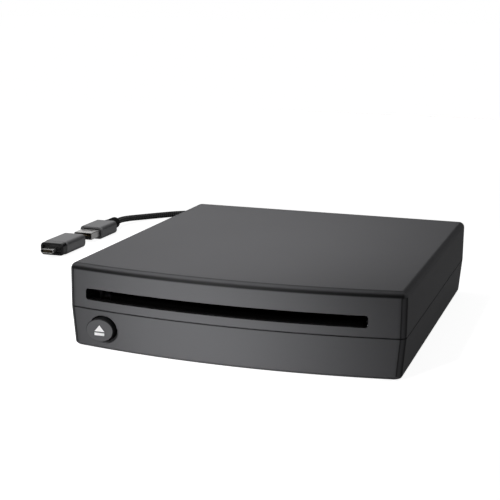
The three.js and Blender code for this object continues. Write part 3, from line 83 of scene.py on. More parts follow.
# Material helpers
class Nodes:
    """A material and short ways to add nodes to it."""

    def __init__(self, name):
        self.material = bpy.data.materials.new(name)
        self.material.use_nodes = True
        self.tree = self.material.node_tree
        self.shader = self.tree.nodes["Principled BSDF"]
        self.coordinates = self.tree.nodes.new("ShaderNodeTexCoord")

    def feed(self, socket, value):
        """Links a node's output to a socket, or writes a value into it."""
        if isinstance(value, bpy.types.NodeSocket):
            self.tree.links.new(value, socket)
        elif value is not None:
            socket.default_value = value

    def math(self, operation, a, b=None, c=None):
        node = self.tree.nodes.new("ShaderNodeMath")
        node.operation = operation
        for socket, value in zip(node.inputs, (a, b, c)):
            self.feed(socket, value)
        return node.outputs[0]

    def split(self, vector):
        node = self.tree.nodes.new("ShaderNodeSeparateXYZ")
        self.feed(node.inputs[0], vector)
        return node.outputs

    def stretch(self, vector, scale):
        node = self.tree.nodes.new("ShaderNodeMapping")
        self.feed(node.inputs["Vector"], vector)
        node.inputs["Scale"].default_value = scale
        return node.outputs[0]

    def noise(self, scale, detail=3.0, vector=None):
        """Noise over the object, with so many waves to a metre."""
        node = self.tree.nodes.new("ShaderNodeTexNoise")
        self.feed(node.inputs["Vector"], vector or self.coordinates.outputs["Object"])
        node.inputs["Scale"].default_value = scale
        node.inputs["Detail"].default_value = detail
        return node.outputs[0]

    def span(self, value, low, high, to_low, to_high):
        """A value's range from low to high, laid on another range."""
        node = self.tree.nodes.new("ShaderNodeMapRange")
        for socket, given in zip(node.inputs, (value, low, high, to_low, to_high)):
            self.feed(socket, given)
        return node.outputs[0]

    def spread(self, noise, to_low, to_high):
        """The usual range of a noise, laid on another range."""
        return self.span(noise, 0.3, 0.7, to_low, to_high)

    def bell(self, value, middle, width):
        """1 at the middle of a band and 0 outside it, soft at both ends."""
        away = self.math("DIVIDE", self.math("SUBTRACT", value, middle), width)
        return self.math("MAXIMUM", self.less(self.math("MULTIPLY", away, away)), 0.0)

    def less(self, value):
        """What a value leaves of 1."""
        return self.math("SUBTRACT", 1.0, value)

    def ramp(self, value, stops):
        """A curve through (place, brightness) stops."""
        node = self.tree.nodes.new("ShaderNodeValToRGB")
        self.feed(node.inputs[0], value)
        points = node.color_ramp.elements
        points[0].position, points[1].position = stops[0][0], stops[-1][0]
        for place, _ in stops[1:-1]:
            points.new(place)
        for point, (_, level) in zip(points, stops):
            point.color = (level, level, level, 1.0)
        return node.outputs[0]

    def tint(self, colour, amount):
        """A colour made lighter or darker by a value."""
        node = self.tree.nodes.new("ShaderNodeVectorMath")
        node.operation = "SCALE"
        self.feed(node.inputs[0], colour)
        self.feed(node.inputs["Scale"], amount)
        return node.outputs[0]

    def blend(self, share, first, second):
        """The first at a share of 0, and the second at 1."""
        node = self.tree.nodes.new("ShaderNodeMix")
        node.data_type = "RGBA"
        self.feed(node.inputs[0], share)
        for socket, value in zip([s for s in node.inputs if s.type == "RGBA"], (first, second)):
            self.feed(socket, (*value, 1.0) if isinstance(value, tuple) else value)
        return [s for s in node.outputs if s.type == "RGBA"][0]

    def bump(self, height, distance, below=None):
        """Relief of a height in metres, on top of the relief below."""
        node = self.tree.nodes.new("ShaderNodeBump")
        node.inputs["Strength"].default_value = 1.0
        node.inputs["Distance"].default_value = distance
        self.feed(node.inputs["Height"], height)
        if below is not None:
            self.feed(node.inputs["Normal"], below)
        self.feed(self.shader.inputs["Normal"], node.outputs[0])
        return node.outputs[0]

    def set(self, **values):
        """Values or links for the shader's sockets, by their names in small letters."""
        names = {"specular": "Specular IOR Level", "coat": "Coat Weight"}
        for key, value in values.items():
            self.feed(self.shader.inputs[names.get(key, key.replace("_", " ").title())], value)
        return self.material


def surface(name, colour, roughness, metallic=0.0, specular=0.5, grain=2500.0, tone=0.05, rise=0.01,
            brushed=None):
    """A plain finish with its grain: colour, roughness and bump all vary."""
    n = Nodes(name)
    place = n.coordinates.outputs["Object"]
    fine = n.noise(grain, 3.0, n.stretch(place, brushed) if brushed else None)
    broad = n.noise(45.0, 2.0)
    shade = n.math("MULTIPLY", n.spread(fine, 1 - tone, 1 + tone), n.spread(broad, 0.97, 1.03))
    n.bump(fine, rise * MM)
    n.set(base_color=n.tint(colour, shade), roughness=n.spread(fine, roughness * 0.92, roughness * 1.08))
    return n.set(metallic=metallic, specular=specular)


# Painted shade and painted reflection bands: how bright the shell's plastic is painted as it turns from a
# wall to the top, and round an upright corner
TOP_EDGE_PAINTED_SHADE = [(0.0, 1.0), (0.02, 0.95), (0.08, 0.40), (0.18, 0.06), (0.42, 0.07), (0.58, 0.34), (0.72, 0.66),
            (0.90, 0.66), (0.955, 0.36), (0.985, 0.34), (0.998, 1.0), (1.0, 1.0)]
SIDE_EDGE_PAINTED_SHADE = [(0.0, 1.0), (0.50, 1.0), (0.75, 0.68), (0.90, 0.40), (0.95, 0.38), (0.985, 0.58),
             (0.998, 0.90), (1.0, 1.0)]
UPRIGHT_EDGE_PAINTED_SHADE = [(0.0, 1.0), (0.20, 1.0), (0.235, 0.45), (0.28, 0.14), (0.34, 0.30), (0.48, 0.62),
                (0.72, 0.72), (0.86, 0.45), (0.94, 0.20), (0.985, 0.7), (1.0, 1.0)]
SHELL = (0.112, 0.112, 0.117)
PART_LINE = 18.4
# A face is a wall where its normal rises or falls by less than this
WALL_LEAN = 0.12
CORD_RADIUS = 2.0
STRANDS = 8.0
DARK_STRAND = (0.014, 0.014, 0.015)
LIGHT_STRAND = (0.105, 0.105, 0.108)
BOARD_GREEN = (0.012, 0.09, 0.034)
TRACK_GREEN = (0.02, 0.14, 0.05)
TRACKS_PER_METRE = 420.0


def shell_finish():
    """Fine satin plastic, with painted shade and painted reflection bands along its rounded edges, and
    painted shade on faces turned down and in the part line gap.
    """
    n = Nodes("satin_shell")
    x, _, z = n.split(n.coordinates.outputs["Normal"])
    height = n.split(n.coordinates.outputs["Object"])[2]
    upwards = n.math("MAXIMUM", z, 0.0)
    level = n.math("MAXIMUM", n.math("SQRT", n.less(n.math("MULTIPLY", z, z))), 0.001)
    sideways = n.span(n.math("DIVIDE", n.math("ABSOLUTE", x), level), 0.5, 0.95, 0.0, 1.0)
    # Painted shade and painted reflection bands on the fillets between the walls and the top
    top = n.blend(sideways, n.ramp(upwards, TOP_EDGE_PAINTED_SHADE), n.ramp(upwards, SIDE_EDGE_PAINTED_SHADE))
    wall = n.math("LESS_THAN", n.math("ABSOLUTE", z), WALL_LEAN)
    # Painted shade and painted reflection bands round the upright corners
    corner = n.math("MULTIPLY", n.ramp(n.math("ABSOLUTE", x), UPRIGHT_EDGE_PAINTED_SHADE), wall)
    upright = n.math("ADD", corner, n.less(wall))
    # Painted shade: faces turned down, round the bottom fillet, are made a little darker
    below = n.less(n.math("MULTIPLY", n.bell(z, -0.55, 0.4), 0.1))
    # Painted shade in the part line gap between the two shells
    part_line_painted_shade = n.less(n.math("MULTIPLY", n.bell(height, PART_LINE * MM, 0.4 * MM), 0.9))
    fine = n.noise(5200.0, 4.0)
    grain = n.noise(1400.0, 2.0)
    broad = n.noise(24.0, 2.0)
    shade = n.math("MULTIPLY", n.spread(fine, 0.97, 1.03), n.spread(broad, 0.985, 1.015))
    for line in (top, upright, below, part_line_painted_shade):
        shade = n.math("MULTIPLY", shade, line)
    n.bump(fine, 0.006 * MM, n.bump(grain, 0.008 * MM))
    n.set(base_color=n.tint(SHELL, shade), roughness=n.spread(fine, 0.46, 0.54))
    return n.set(specular=0.06)


def braid_finish():
    """Woven sleeve: two families of strands that pass over and under each other."""
    n = Nodes("braided_sleeve")
    along, around, _ = n.split(n.coordinates.outputs["UV"])
    turn = n.math("DIVIDE", along, math.pi * CORD_RADIUS * 2)
    first = n.math("MULTIPLY", n.math("ADD", around, turn), STRANDS)
    second = n.math("MULTIPLY", n.math("SUBTRACT", around, turn), STRANDS)
    cells = n.math("ADD", n.math("FLOOR", first), n.math("FLOOR", second))
    over = n.math("GREATER_THAN", n.math("FLOORED_MODULO", cells, 2.0), 0.5)
    crown = [n.math("SINE", n.math("MULTIPLY", n.math("FRACT", v), math.pi)) for v in (first, second)]
    height = n.math("ADD", n.math("MULTIPLY", crown[0], over), n.math("MULTIPLY", crown[1], n.less(over)))
    fibres = n.noise(9000.0, 2.0)
    colour = n.blend(over, DARK_STRAND, LIGHT_STRAND)
    # Painted shade: the colour is darkened where strands dip under others, and lifted a little on their
    # crowns as a painted highlight
    shade = n.math("MULTIPLY", n.span(height, 0.0, 1.0, 0.3, 1.1), n.spread(fibres, 0.85, 1.15))
    n.bump(height, 0.25 * MM, n.bump(fibres, 0.03 * MM))
    n.set(base_color=n.tint(colour, shade), roughness=n.span(height, 0.0, 1.0, 0.85, 0.55))
    return n.set(specular=0.35)


def board_finish():
    """Green solder mask over fine copper tracks, along x in some patches and along y in others."""
    n = Nodes("circuit_board")
    x, y, _ = n.split(n.coordinates.outputs["Object"])
    first = n.math("FRACT", n.math("MULTIPLY", x, TRACKS_PER_METRE))
    second = n.math("FRACT", n.math("MULTIPLY", y, TRACKS_PER_METRE))
    patch = n.math("GREATER_THAN", n.noise(90.0, 0.0), 0.5)
    line = n.math("LESS_THAN", n.blend(patch, first, second), 0.35)
    colour = n.blend(line, BOARD_GREEN, TRACK_GREEN)
    n.bump(line, 0.03 * MM)
    n.set(base_color=n.tint(colour, n.spread(n.noise(2500.0), 0.95, 1.05)))
    return n.set(roughness=0.4, specular=0.5)


def lens_finish():
    """A coated lens, blue from the front and violet at its rim."""
    n = Nodes("coated_lens")
    edge = n.tree.nodes.new("ShaderNodeLayerWeight")
    colour = n.blend(edge.outputs["Facing"], (0.10, 0.13, 0.36), (0.42, 0.22, 0.50))
    n.set(base_color=n.tint(colour, n.spread(n.noise(900.0), 0.97, 1.03)))
    return n.set(roughness=0.05, specular=0.6, coat=0.6)


shell_plastic = shell_finish()
finishes = {
    "shell_plastic": shell_plastic,
    "rubber": surface("matt_rubber", (0.008, 0.008, 0.008), 0.8, specular=0.1, grain=3000.0, tone=0.12,
                      rise=0.02),
    "dark_steel": surface("dark_plated_steel", (0.12, 0.12, 0.13), 0.4, 1.0, grain=1800.0, tone=0.10),
    "felt": surface("black_felt", (0.002, 0.002, 0.002), 0.95, specular=0.02, grain=4200.0, tone=0.35,
                    rise=0.15),
    "symbol_white": surface("white_print", (0.93, 0.93, 0.93), 0.5, specular=0.2, grain=4000.0, tone=0.02),
    "circuit_board": board_finish(),
    "black_plastic": surface("black_moulding", (0.008, 0.008, 0.009), 0.42, specular=0.4, tone=0.10),
    "gloss_black": surface("gloss_black", (0.007, 0.007, 0.008), 0.16, specular=0.5, grain=1500.0,
                           tone=0.10, rise=0.002),
    "nylon": surface("natural_nylon", (0.72, 0.70, 0.64), 0.5, grain=1600.0, tone=0.04),
    "steel": surface("zinc_plated_steel", (0.40, 0.41, 0.43), 0.35, 1.0, grain=700.0, tone=0.08,
                     brushed=(1.0, 0.12, 1.0)),
    "lens_glass": lens_finish(),
    "braid": braid_finish(),
    "nickel": surface("satin_nickel", (0.74, 0.735, 0.72), 0.24, 1.0, grain=2600.0, tone=0.03, rise=0.002,
                      brushed=(1.0, 0.1, 1.0)),
    "anodised_aluminium": surface("anodised_aluminium", (0.22, 0.22, 0.225), 0.38, 0.85, specular=0.4,
                                  grain=6500.0, tone=0.10, rise=0.004),
}
gold = surface("gold_contact", (0.80, 0.60, 0.30), 0.25, 1.0, grain=1500.0, tone=0.05)
roller_rubber = surface("roller_rubber", (0.0015, 0.0015, 0.0015), 0.9, specular=0.0, tone=0.15, rise=0.02)
# Painted shade: a near-black colour for the slot's inner walls, which are the case's own plastic
slot_painted_shade = surface("slot_painted_shade", (0.004, 0.004, 0.004), 0.8, specular=0.05, tone=0.15, rise=0.02)
# Painted shade: a near-black colour for the eject button's sides
button_side_painted_shade = surface("button_side_painted_shade", (0.006, 0.006, 0.0065), 0.5, specular=0.15, tone=0.10)


# Mesh helpers
def as_piece(name, mesh, slot, body="root", sharp=35.0, weighted=True):
    """A finished piece: smooth shading with sharp edges kept, its finish, and the body it rides on."""
    piece = bpy.data.objects.new(name, mesh)
    bpy.context.scene.collection.objects.link(piece)
    if not mesh.materials:
        mesh.materials.append(finishes[slot])
    mesh.shade_smooth()
    mesh.set_sharp_from_angle(angle=math.radians(sharp))
    if weighted:
        modifier = piece.modifiers.new("normals", "WEIGHTED_NORMAL")
        modifier.keep_sharp = True
    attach(piece, body)
    return piece


def build(name, points, faces, uv=None):
    """A mesh from points in millimetres, its faces turned outwards."""
    mesh = bpy.data.meshes.new(name)
    mesh.from_pydata([tuple(c * MM for c in p) for p in points], [], faces)
    if uv:
        layer = mesh.uv_layers.new(name="along_around")
        layer.data.foreach_set("uv", [c for pair in uv for c in pair])
    work = bmesh.new()
    work.from_mesh(mesh)
    bmesh.ops.recalc_face_normals(work, faces=work.faces)
    work.to_mesh(mesh)
    work.free()
    return mesh


def skin_faces(levels, count):
    """The four-sided faces between rings of equal count, given one after the other."""
    faces = []
    for level in range(levels - 1):
        for i in range(count):
            a, b = level * count + i, level * count + (i + 1) % count
            faces.append((a, b, b + count, a + count))
    return faces


def loft(name, rings, caps=True):
    """Rings of equal count skinned in order, with a cap at both ends or at neither."""
    count = len(rings[0])
    points = [p for ring in rings for p in ring]
    faces = skin_faces(len(rings), count)
    if caps:
        faces.append(tuple(reversed(range(count))))
        faces.append(tuple(range(len(points) - count, len(points))))
    return build(name, points, faces)


def joined(name, meshes):
    """Several meshes in one, without joining their faces."""
    work = bmesh.new()
    for mesh in meshes:
        work.from_mesh(mesh)
    mesh = bpy.data.meshes.new(name)
    work.to_mesh(mesh)
    work.free()
    return mesh


def carve(name, base, tools, operation="DIFFERENCE"):
    """The base mesh with the tool meshes cut from it, or joined to it."""
    def hold(mesh):
        held = bpy.data.objects.new("carving", mesh)
        bpy.context.scene.collection.objects.link(held)
        return held

    body = hold(base)
    held = [hold(tool) for tool in tools]
    for tool in held:
        modifier = body.modifiers.new("carve", "BOOLEAN")
        modifier.operation = operation
        modifier.solver = "EXACT"
        modifier.object = tool
    bpy.context.view_layer.update()
    result = bpy.data.meshes.new_from_object(body.evaluated_get(bpy.context.evaluated_depsgraph_get()))
    result.name = name
    for spent in [body, *held]:
        bpy.data.objects.remove(spent)
    return result


def round_edges(mesh, chosen, width):
    """Rounds the edges that a test picks, by a width in millimetres."""
    work = bmesh.new()
    work.from_mesh(mesh)
    edges = [e for e in work.edges if len(e.link_faces) == 2 and chosen(e)]
    bmesh.ops.bevel(work, geom=edges, offset=width * MM, segments=2, profile=0.5, affect="EDGES",
                    clamp_overlap=True)
    work.to_mesh(mesh)
    work.free()
    return mesh


def sharper_than(edge, angle):
    """Whether an edge turns by more than an angle in degrees."""
    return edge.calc_face_angle(0.0) > math.radians(angle)


def soften(mesh, width, angle=30.0):
    """Rounds all edges sharper than an angle in degrees."""
    return round_edges(mesh, lambda e: sharper_than(e, angle), width)


def lathe(name, axis, profile, centre=(0.0, 0.0), sides=64, flat=1.0):
    """A profile of (radius, height) pairs turned about an axis through a centre, flattened to an oval."""
    rings = []
    for radius, height in profile:
        ring = []
        for i in range(sides):
            angle = 2 * math.pi * i / sides
            a = centre[0] + radius * math.cos(angle)
            b = centre[1] + flat * radius * math.sin(angle)
            ring.append((a, height, b) if axis == "y" else (a, b, height))
        rings.append(ring)
    return loft(name, rings)


def arc(centre, radius, start, end, steps):
    """(radius, height) pairs along an arc, for a lathe's profile. Angles are in degrees."""
    angles = [math.radians(start + (end - start) * i / steps) for i in range(steps + 1)]
    return [(centre[0] + radius * math.cos(a), centre[1] + radius * math.sin(a)) for a in angles]


def rounded(half_width, half_height, corner, x, z, y, steps=8):
    """A rectangle with round corners, standing across Y."""
    ring = []
    for quarter, (right, up) in enumerate(((1, 1), (-1, 1), (-1, -1), (1, -1))):
        for i in range(steps + 1):
            angle = math.pi / 2 * (quarter + i / steps)
            ring.append((x + right * (half_width - corner) + corner * math.cos(angle), y,
                         z + up * (half_height - corner) + corner * math.sin(angle)))
    return ring


def box_mesh(name, x0, x1, y0, y1, z0, z1, soft=0.0):
    """A box between two values on each axis, with its edges softened where a width is given."""
    ring = [(x0, y0), (x1, y0), (x1, y1), (x0, y1)]
    mesh = loft(name, [[(x, y, z) for x, y in ring] for z in (z0, z1)])
    return soften(mesh, soft) if soft else mesh


def finished(mesh, material):
    """The mesh with one material and no other."""
    mesh.materials.clear()
    mesh.materials.append(material)
    return mesh


def in_mm(corner):
    return [c / MM for c in corner]


# Cord: the route of the lead, with its near stretch, its coil and its far stretch
NEAR = [(-45, 97.2, 9.8), (-45, 98.2, 9.8), (-45, 103, 9.8), (-45.3, 108, 9.1), (-46.8, 114.5, 6.8),
        (-49.6, 121.5, 4.2), (-52.9, 128.5, 2.4), (-55.7, 134.5, 2.4), (-56.9, 140.5, 2.8),
        (-57, 145.7, 2.8)]
FAR = [(-57, 154.3, 7.4), (-57, 162, 7.4), (-57.3, 171, 6.5), (-58.2, 180, 4.2), (-60.2, 189, 2.5),
       (-64, 199, 2.1), (-70.5, 210.5, 2.1), (-79.5, 221, 2.1), (-91, 229.5, 2.1), (-104.5, 235, 2.1),
       (-119, 236, 2.1), (-133, 232.2, 2.1), (-145.5, 224.5, 2.1), (-155.5, 214, 2.1), (-162.6, 202, 2.6),
       (-166.6, 190.5, 3.5), (-168, 181, 4.1), (-168, 171.8, 4.1), (-168, 170.4, 4.1)]
COIL_MIDDLE = (-85.75, 150.0)
COIL_TURNS = 5
COIL_RADIUS = 28.75
COIL_STEPS = 72
PITCH = 4.6
LAYERS = (2.8, 7.4)
CLIMB_START = 2.25
CLIMB_TURNS = 0.5


def smooth_route(points, steps):
    """A centripetal spline through the points."""
    p = [Vector(q) for q in points]
    p = [2 * p[0] - p[1], *p, 2 * p[-1] - p[-2]]
    route = []
    for i in range(1, len(p) - 2):
        gaps = [max(1e-4, (p[i + k] - p[i + k - 1]).length ** 0.5) for k in range(3)]
        t1, t2, t3 = (((p[i + k] - p[i + k - 1]) / gaps[k]) for k in range(3))
        start = (t1 - (p[i + 1] - p[i - 1]) / (gaps[0] + gaps[1]) + t2) * gaps[1]
        end = (t2 - (p[i + 2] - p[i]) / (gaps[1] + gaps[2]) + t3) * gaps[1]
        for k in range(steps):
            t = k / steps
            a, b = 2 * t ** 3 - 3 * t ** 2 + 1, t ** 3 - 2 * t ** 2 + t
            c, d = -2 * t ** 3 + 3 * t ** 2, t ** 3 - t ** 2
            route.append(a * p[i] + b * start + c * p[i + 1] + d * end)
    return [*route, p[-2]]


def coil_route():
    """Turns that wind inwards on the lower layer, climb, and wind outwards on the upper one."""
    route = []
    for i in range(COIL_TURNS * COIL_STEPS + 1):
        t = i / COIL_STEPS
        radius = COIL_RADIUS - PITCH * min(t, COIL_TURNS - t)
        rise = min(1.0, max(0.0, (t - CLIMB_START) / CLIMB_TURNS))
        z = LAYERS[0] + (LAYERS[1] - LAYERS[0]) * rise * rise * (3 - 2 * rise)
        angle = 2 * math.pi * t
        x, y = COIL_MIDDLE[0] + radius * math.cos(angle), COIL_MIDDLE[1] + radius * math.sin(angle)
        route.append(Vector((x, y, z)))
    return route


def sweep(name, route, radius, sides=20, uv=True):
    """A round tube along a route, with its texture laid along and around it, and the route's length."""
    count = len(route)
    rings, side = [], Vector((0, 0, 1))
    turns = [2 * math.pi * k / sides for k in range(sides)]
    for i, point in enumerate(route):
        ahead = (route[min(i + 1, count - 1)] - route[max(i - 1, 0)]).normalized()
        side = (side - ahead * side.dot(ahead)).normalized()
        other = ahead.cross(side)
        rings.append([point + radius * (math.cos(a) * side + math.sin(a) * other) for a in turns])
    lengths = [0.0]
    for a, b in zip(route, route[1:]):
        lengths.append(lengths[-1] + (b - a).length)
    points = [tuple(p) for ring in rings for p in ring]
    faces = skin_faces(count, sides)
    wraps = []
    for s, t in zip(lengths, lengths[1:]):
        for k in range(sides):
            u, v = k / sides, (k + 1) / sides
            wraps += [(s, u), (s, v), (t, v), (t, u)]
    faces += [tuple(reversed(range(sides))), tuple(range(len(points) - sides, len(points)))]
    wraps += [(0.0, 0.0)] * sides * 2
    return build(name, points, faces, wraps if uv else None), lengths[-1]


def add_cord():
    """The lead, and its route and length in metres."""
    route = [*smooth_route(NEAR, 8), *coil_route(), *smooth_route(FAR, 10)]
    mesh, length = sweep("lead", route, CORD_RADIUS)
    lead = as_piece("lead", mesh, "braid", sharp=60.0, weighted=False)
    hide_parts("cord_near", "cord_coil", "cord_far")
    return lead, [tuple(c * MM for c in p) for p in route], length * MM


lead, lead_path, lead_length = add_cord()

# Case: its plan outline, its heights, and what is cut into it
HALF_WIDTH = 75.0
BOW = 7.8
BACK_Y = 83.9
FRONT_CORNER_Y = -76.1
PART_RISE = 17.8
SIDE_TAPER = 1.45
END_TAPER = 0.9
CORNER = 3.0
INNER_CORNER = 1.2
WALL = 2.0
SEAM = 0.3
TOP = 38.0
CEILING = 36.0
TOP_FILLET = 2.8
BOTTOM = 0.6
FLOOR = 2.6
BOTTOM_FILLET = 1.6
# The upper case's rebate and the lower case's lip in it: top and inset
REBATE_TOP, REBATE_INSET = 20.4, 0.85
LIP_TOP, LIP_INSET = 20.1, 1.15
SLOT_X = -3.2
SLOT_Z = 25.0
SLOT_HALF = (63.1, 2.5)
SLOT_CORNER = 1.3
BUTTON_X = -57.7
BUTTON_Z = 10.5
BUTTON_FACE_Y = -82.884
BUTTON_WIDE = 6.4
BUTTON_HIGH = 5.0
BUTTON_GAP = 0.6
BUTTON_EDGE = 0.25
GLAND_X = -45.0
GLAND_Z = 9.8
GLAND_HOLE = 3.9
FOOT_RECESS = 7.3
SCREWS = [(-66.8, -69.0), (66.8, -69.0), (66.8, 74.0), (-66.8, 74.0)]
FEET = [(-56.0, -58.0), (56.0, -58.0), (56.0, 66.0), (-56.0, 66.0)]
BEFORE_FRONT = -90.0
BELOW_CASE = -1.0
# A lathe's closed profile starts and ends this near its axis
AXIS = 0.01
FRONT_STEPS = 72
CORNER_STEPS = 8
TOP_FILLET_STEPS = 12
BOTTOM_FILLET_STEPS = 10


def front_y(x, inset=0.0):
    """The bowed front."""
    return FRONT_CORNER_Y + inset - BOW * (1 - (x / HALF_WIDTH) ** 2)


def case_ring(z, inset, radius=CORNER, at=None):
    """The case's plan outline. Below the part line it draws in, by its own height or by another."""
    share = max(0.0, (PART_LINE - (z if at is None else at)) / PART_RISE)
    half = HALF_WIDTH - inset - SIDE_TAPER * share
    end = inset + END_TAPER * share
    slope = math.atan(2 * BOW * half / HALF_WIDTH ** 2)
    join = half - radius + radius * math.sin(slope)
    across = [join * (2 * i / FRONT_STEPS - 1) for i in range(FRONT_STEPS + 1)]
    ring = [(x, front_y(x, end), z) for x in across]
    middle = front_y(join, end) + radius * math.cos(slope)
    side, back = half - radius, BACK_Y - end - radius
    quarter = math.pi / 2
    corners = [(side, middle, slope - quarter, 0.0, 1), (side, back, 0.0, quarter, 0),
               (-side, back, quarter, 2 * quarter, 0), (-side, middle, 2 * quarter, 3 * quarter - slope, 0)]
    for x, y, start, stop, first in corners:
        for i in range(first, CORNER_STEPS + 1):
            angle = start + (stop - start) * i / CORNER_STEPS
            ring.append((x + radius * math.cos(angle), y + radius * math.sin(angle), z))
    ring.pop()
    return ring


def part_ring(z, inset):
    """An outline of the inside, whose walls are upright."""
    return case_ring(z, inset, INNER_CORNER, PART_LINE)


def upper_case():
    """The top and the upper walls, with the disc slot."""
    base = PART_LINE + SEAM / 2
    rings = [part_ring(CEILING, WALL), part_ring(REBATE_TOP, WALL), part_ring(REBATE_TOP, REBATE_INSET),
             part_ring(base, REBATE_INSET), case_ring(base, 0.0), case_ring(TOP - TOP_FILLET - 0.5, 0.0)]
    for i in range(TOP_FILLET_STEPS + 1):
        angle = math.pi / 2 * i / TOP_FILLET_STEPS
        inset = TOP_FILLET * (1 - math.cos(angle))
        height = TOP - TOP_FILLET + TOP_FILLET * math.sin(angle)
        rings.append(case_ring(height, inset, max(INNER_CORNER, CORNER - inset)))
    rings.append(case_ring(TOP, TOP_FILLET + 0.6, INNER_CORNER))
    slot = rounded(*SLOT_HALF, SLOT_CORNER, SLOT_X, SLOT_Z, 0.0, 6)
    inside_y = FRONT_CORNER_Y + WALL
    cutter = loft("slot", [[(x, y, z) for x, _, z in slot] for y in (BEFORE_FRONT, inside_y)])
    shell = carve("case_upper", loft("case_upper", rings), [cutter])

    def in_slot(x, z, margin):
        return abs(x - SLOT_X) < SLOT_HALF[0] + margin and abs(z - SLOT_Z) < SLOT_HALF[1] + margin

    def on_slot(edge):
        for x, y, z in (in_mm(v.co) for v in edge.verts):
            if not in_slot(x, z, 0.1) or abs(y - front_y(x)) >= 0.02:
                return False
        return sharper_than(edge, 50.0)

    shell = round_edges(shell, on_slot, 0.12)
    # The slot's inner walls take the painted shade
    finished(shell, shell_plastic).materials.append(slot_painted_shade)
    for face in shell.polygons:
        x, y, z = in_mm(face.center)
        on_slot_wall = in_slot(x, z, 0.05) and front_y(x) + 0.05 < y < inside_y - 0.1
        face.material_index = 1 if on_slot_wall else 0
    return shell


def lower_case():
    """The bottom and the lower walls, with their holes, recesses and screw wells."""
    rim_z = PART_LINE - SEAM / 2
    rings = [case_ring(FLOOR, WALL, INNER_CORNER), part_ring(PART_LINE - 3, WALL), part_ring(LIP_TOP, WALL),
             part_ring(LIP_TOP, LIP_INSET), part_ring(rim_z, LIP_INSET), case_ring(rim_z, 0.0)]
    for i in range(BOTTOM_FILLET_STEPS + 1):
        angle = math.pi / 2 * (1 - i / BOTTOM_FILLET_STEPS)
        height = BOTTOM + BOTTOM_FILLET * (1 - math.cos(angle))
        rings.append(case_ring(height, BOTTOM_FILLET * (1 - math.sin(angle))))
    rings.append(case_ring(BOTTOM, BOTTOM_FILLET + 0.7))
    bosses = [lathe("boss", "z", [(4.4, 2.0), (4.4, 8.7)], place, 32) for place in SCREWS]
    shell = carve("case_lower", loft("case_lower", rings), bosses, "UNION")
    hole = BUTTON_WIDE + BUTTON_GAP
    flat = (BUTTON_HIGH + BUTTON_GAP) / hole
    through = [(hole, BEFORE_FRONT), (hole, FRONT_CORNER_Y + 1)]
    tools = [lathe("button_hole", "y", through, (BUTTON_X, BUTTON_Z), 96, flat)]
    through = [(GLAND_HOLE, 75.0), (GLAND_HOLE, 90.0)]
    tools.append(lathe("gland_hole", "y", through, (GLAND_X, GLAND_Z), 48))
    recess = [(FOOT_RECESS, BELOW_CASE), (FOOT_RECESS, 0.9)]
    tools += [lathe("foot_recess", "z", recess, place, 56) for place in FEET]
    well = [(3.5, BELOW_CASE), (3.5, BOTTOM), (3.1, BOTTOM + 0.4), (3.1, 3.9)]
    tools += [lathe("well", "z", well, place, 48) for place in SCREWS]
    shell = carve("case_lower", shell, tools)

    def on_hole(edge):
        for x, y, z in (in_mm(v.co) for v in edge.verts):
            away = math.hypot(x - BUTTON_X, (z - BUTTON_Z) / flat)
            if abs(away - hole) >= 0.03 or y >= front_y(x) + 1.4:
                return False
        return sharper_than(edge, 50.0)

    return finished(round_edges(shell, on_hole, 0.2), shell_plastic)


def foot_profile():
    """A rubber disc with five grooves underneath."""
    profile = [(AXIS, 1.2), (6.6, 1.2), (7.0, 1.0), *arc((6.3, 0.6), 0.7, 0, -75, 5), (5.9, 0.02)]
    for i in range(5):
        radius = 5.4 - i * 1.05
        profile += [(radius + 0.2, 0.0), (radius, 0.12), (radius - 0.35, 0.12), (radius - 0.55, 0.0)]
    return [*profile, (AXIS, 0.0)]


def screw_mesh(x, y):
    """A round head that faces down, with a cross recess."""
    long, short = 1.9, 0.42
    head = [(AXIS, 3.55), (2.75, 3.55), (2.8, 3.4), (2.8, 2.1), *arc((1.9, 2.5), 0.9, 0, -90, 6)]
    head.append((AXIS, 1.6))
    cross = []
    for wide, deep in ((long, short), (short, long)):
        tip = [(x - s * wide, y - t * deep) for s, t in ((1, 1), (-1, 1), (-1, -1), (1, -1))]
        point = [(x + (a - x) * 0.45, y + (b - y) * 0.45) for a, b in tip]
        cross.append(loft("cross", [[(a, b, 1.4) for a, b in tip], [(a, b, 3.0) for a, b in point]]))
    return carve("screw", lathe("screw", "z", head, (x, y), 48), cross)


def add_case():
    upper = as_piece("case_upper", upper_case(), "shell_plastic")
    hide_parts("upper_shell")
    lower = as_piece("case_lower", lower_case(), "shell_plastic")
    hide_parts("lower_shell")
    for number, place in enumerate(FEET, 1):
        mesh = lathe("foot", "z", foot_profile(), place, 72)
        foot = as_piece(f"foot_{number}", mesh, "rubber", sharp=30.0)
        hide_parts(f"rubber_foot_{number}")
    for number, place in enumerate(SCREWS, 1):
        mesh = finished(screw_mesh(*place), finishes["dark_steel"])
        screw = as_piece(f"screw_{number}", mesh, "dark_steel")
        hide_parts(f"case_screw_{number}")


add_case()


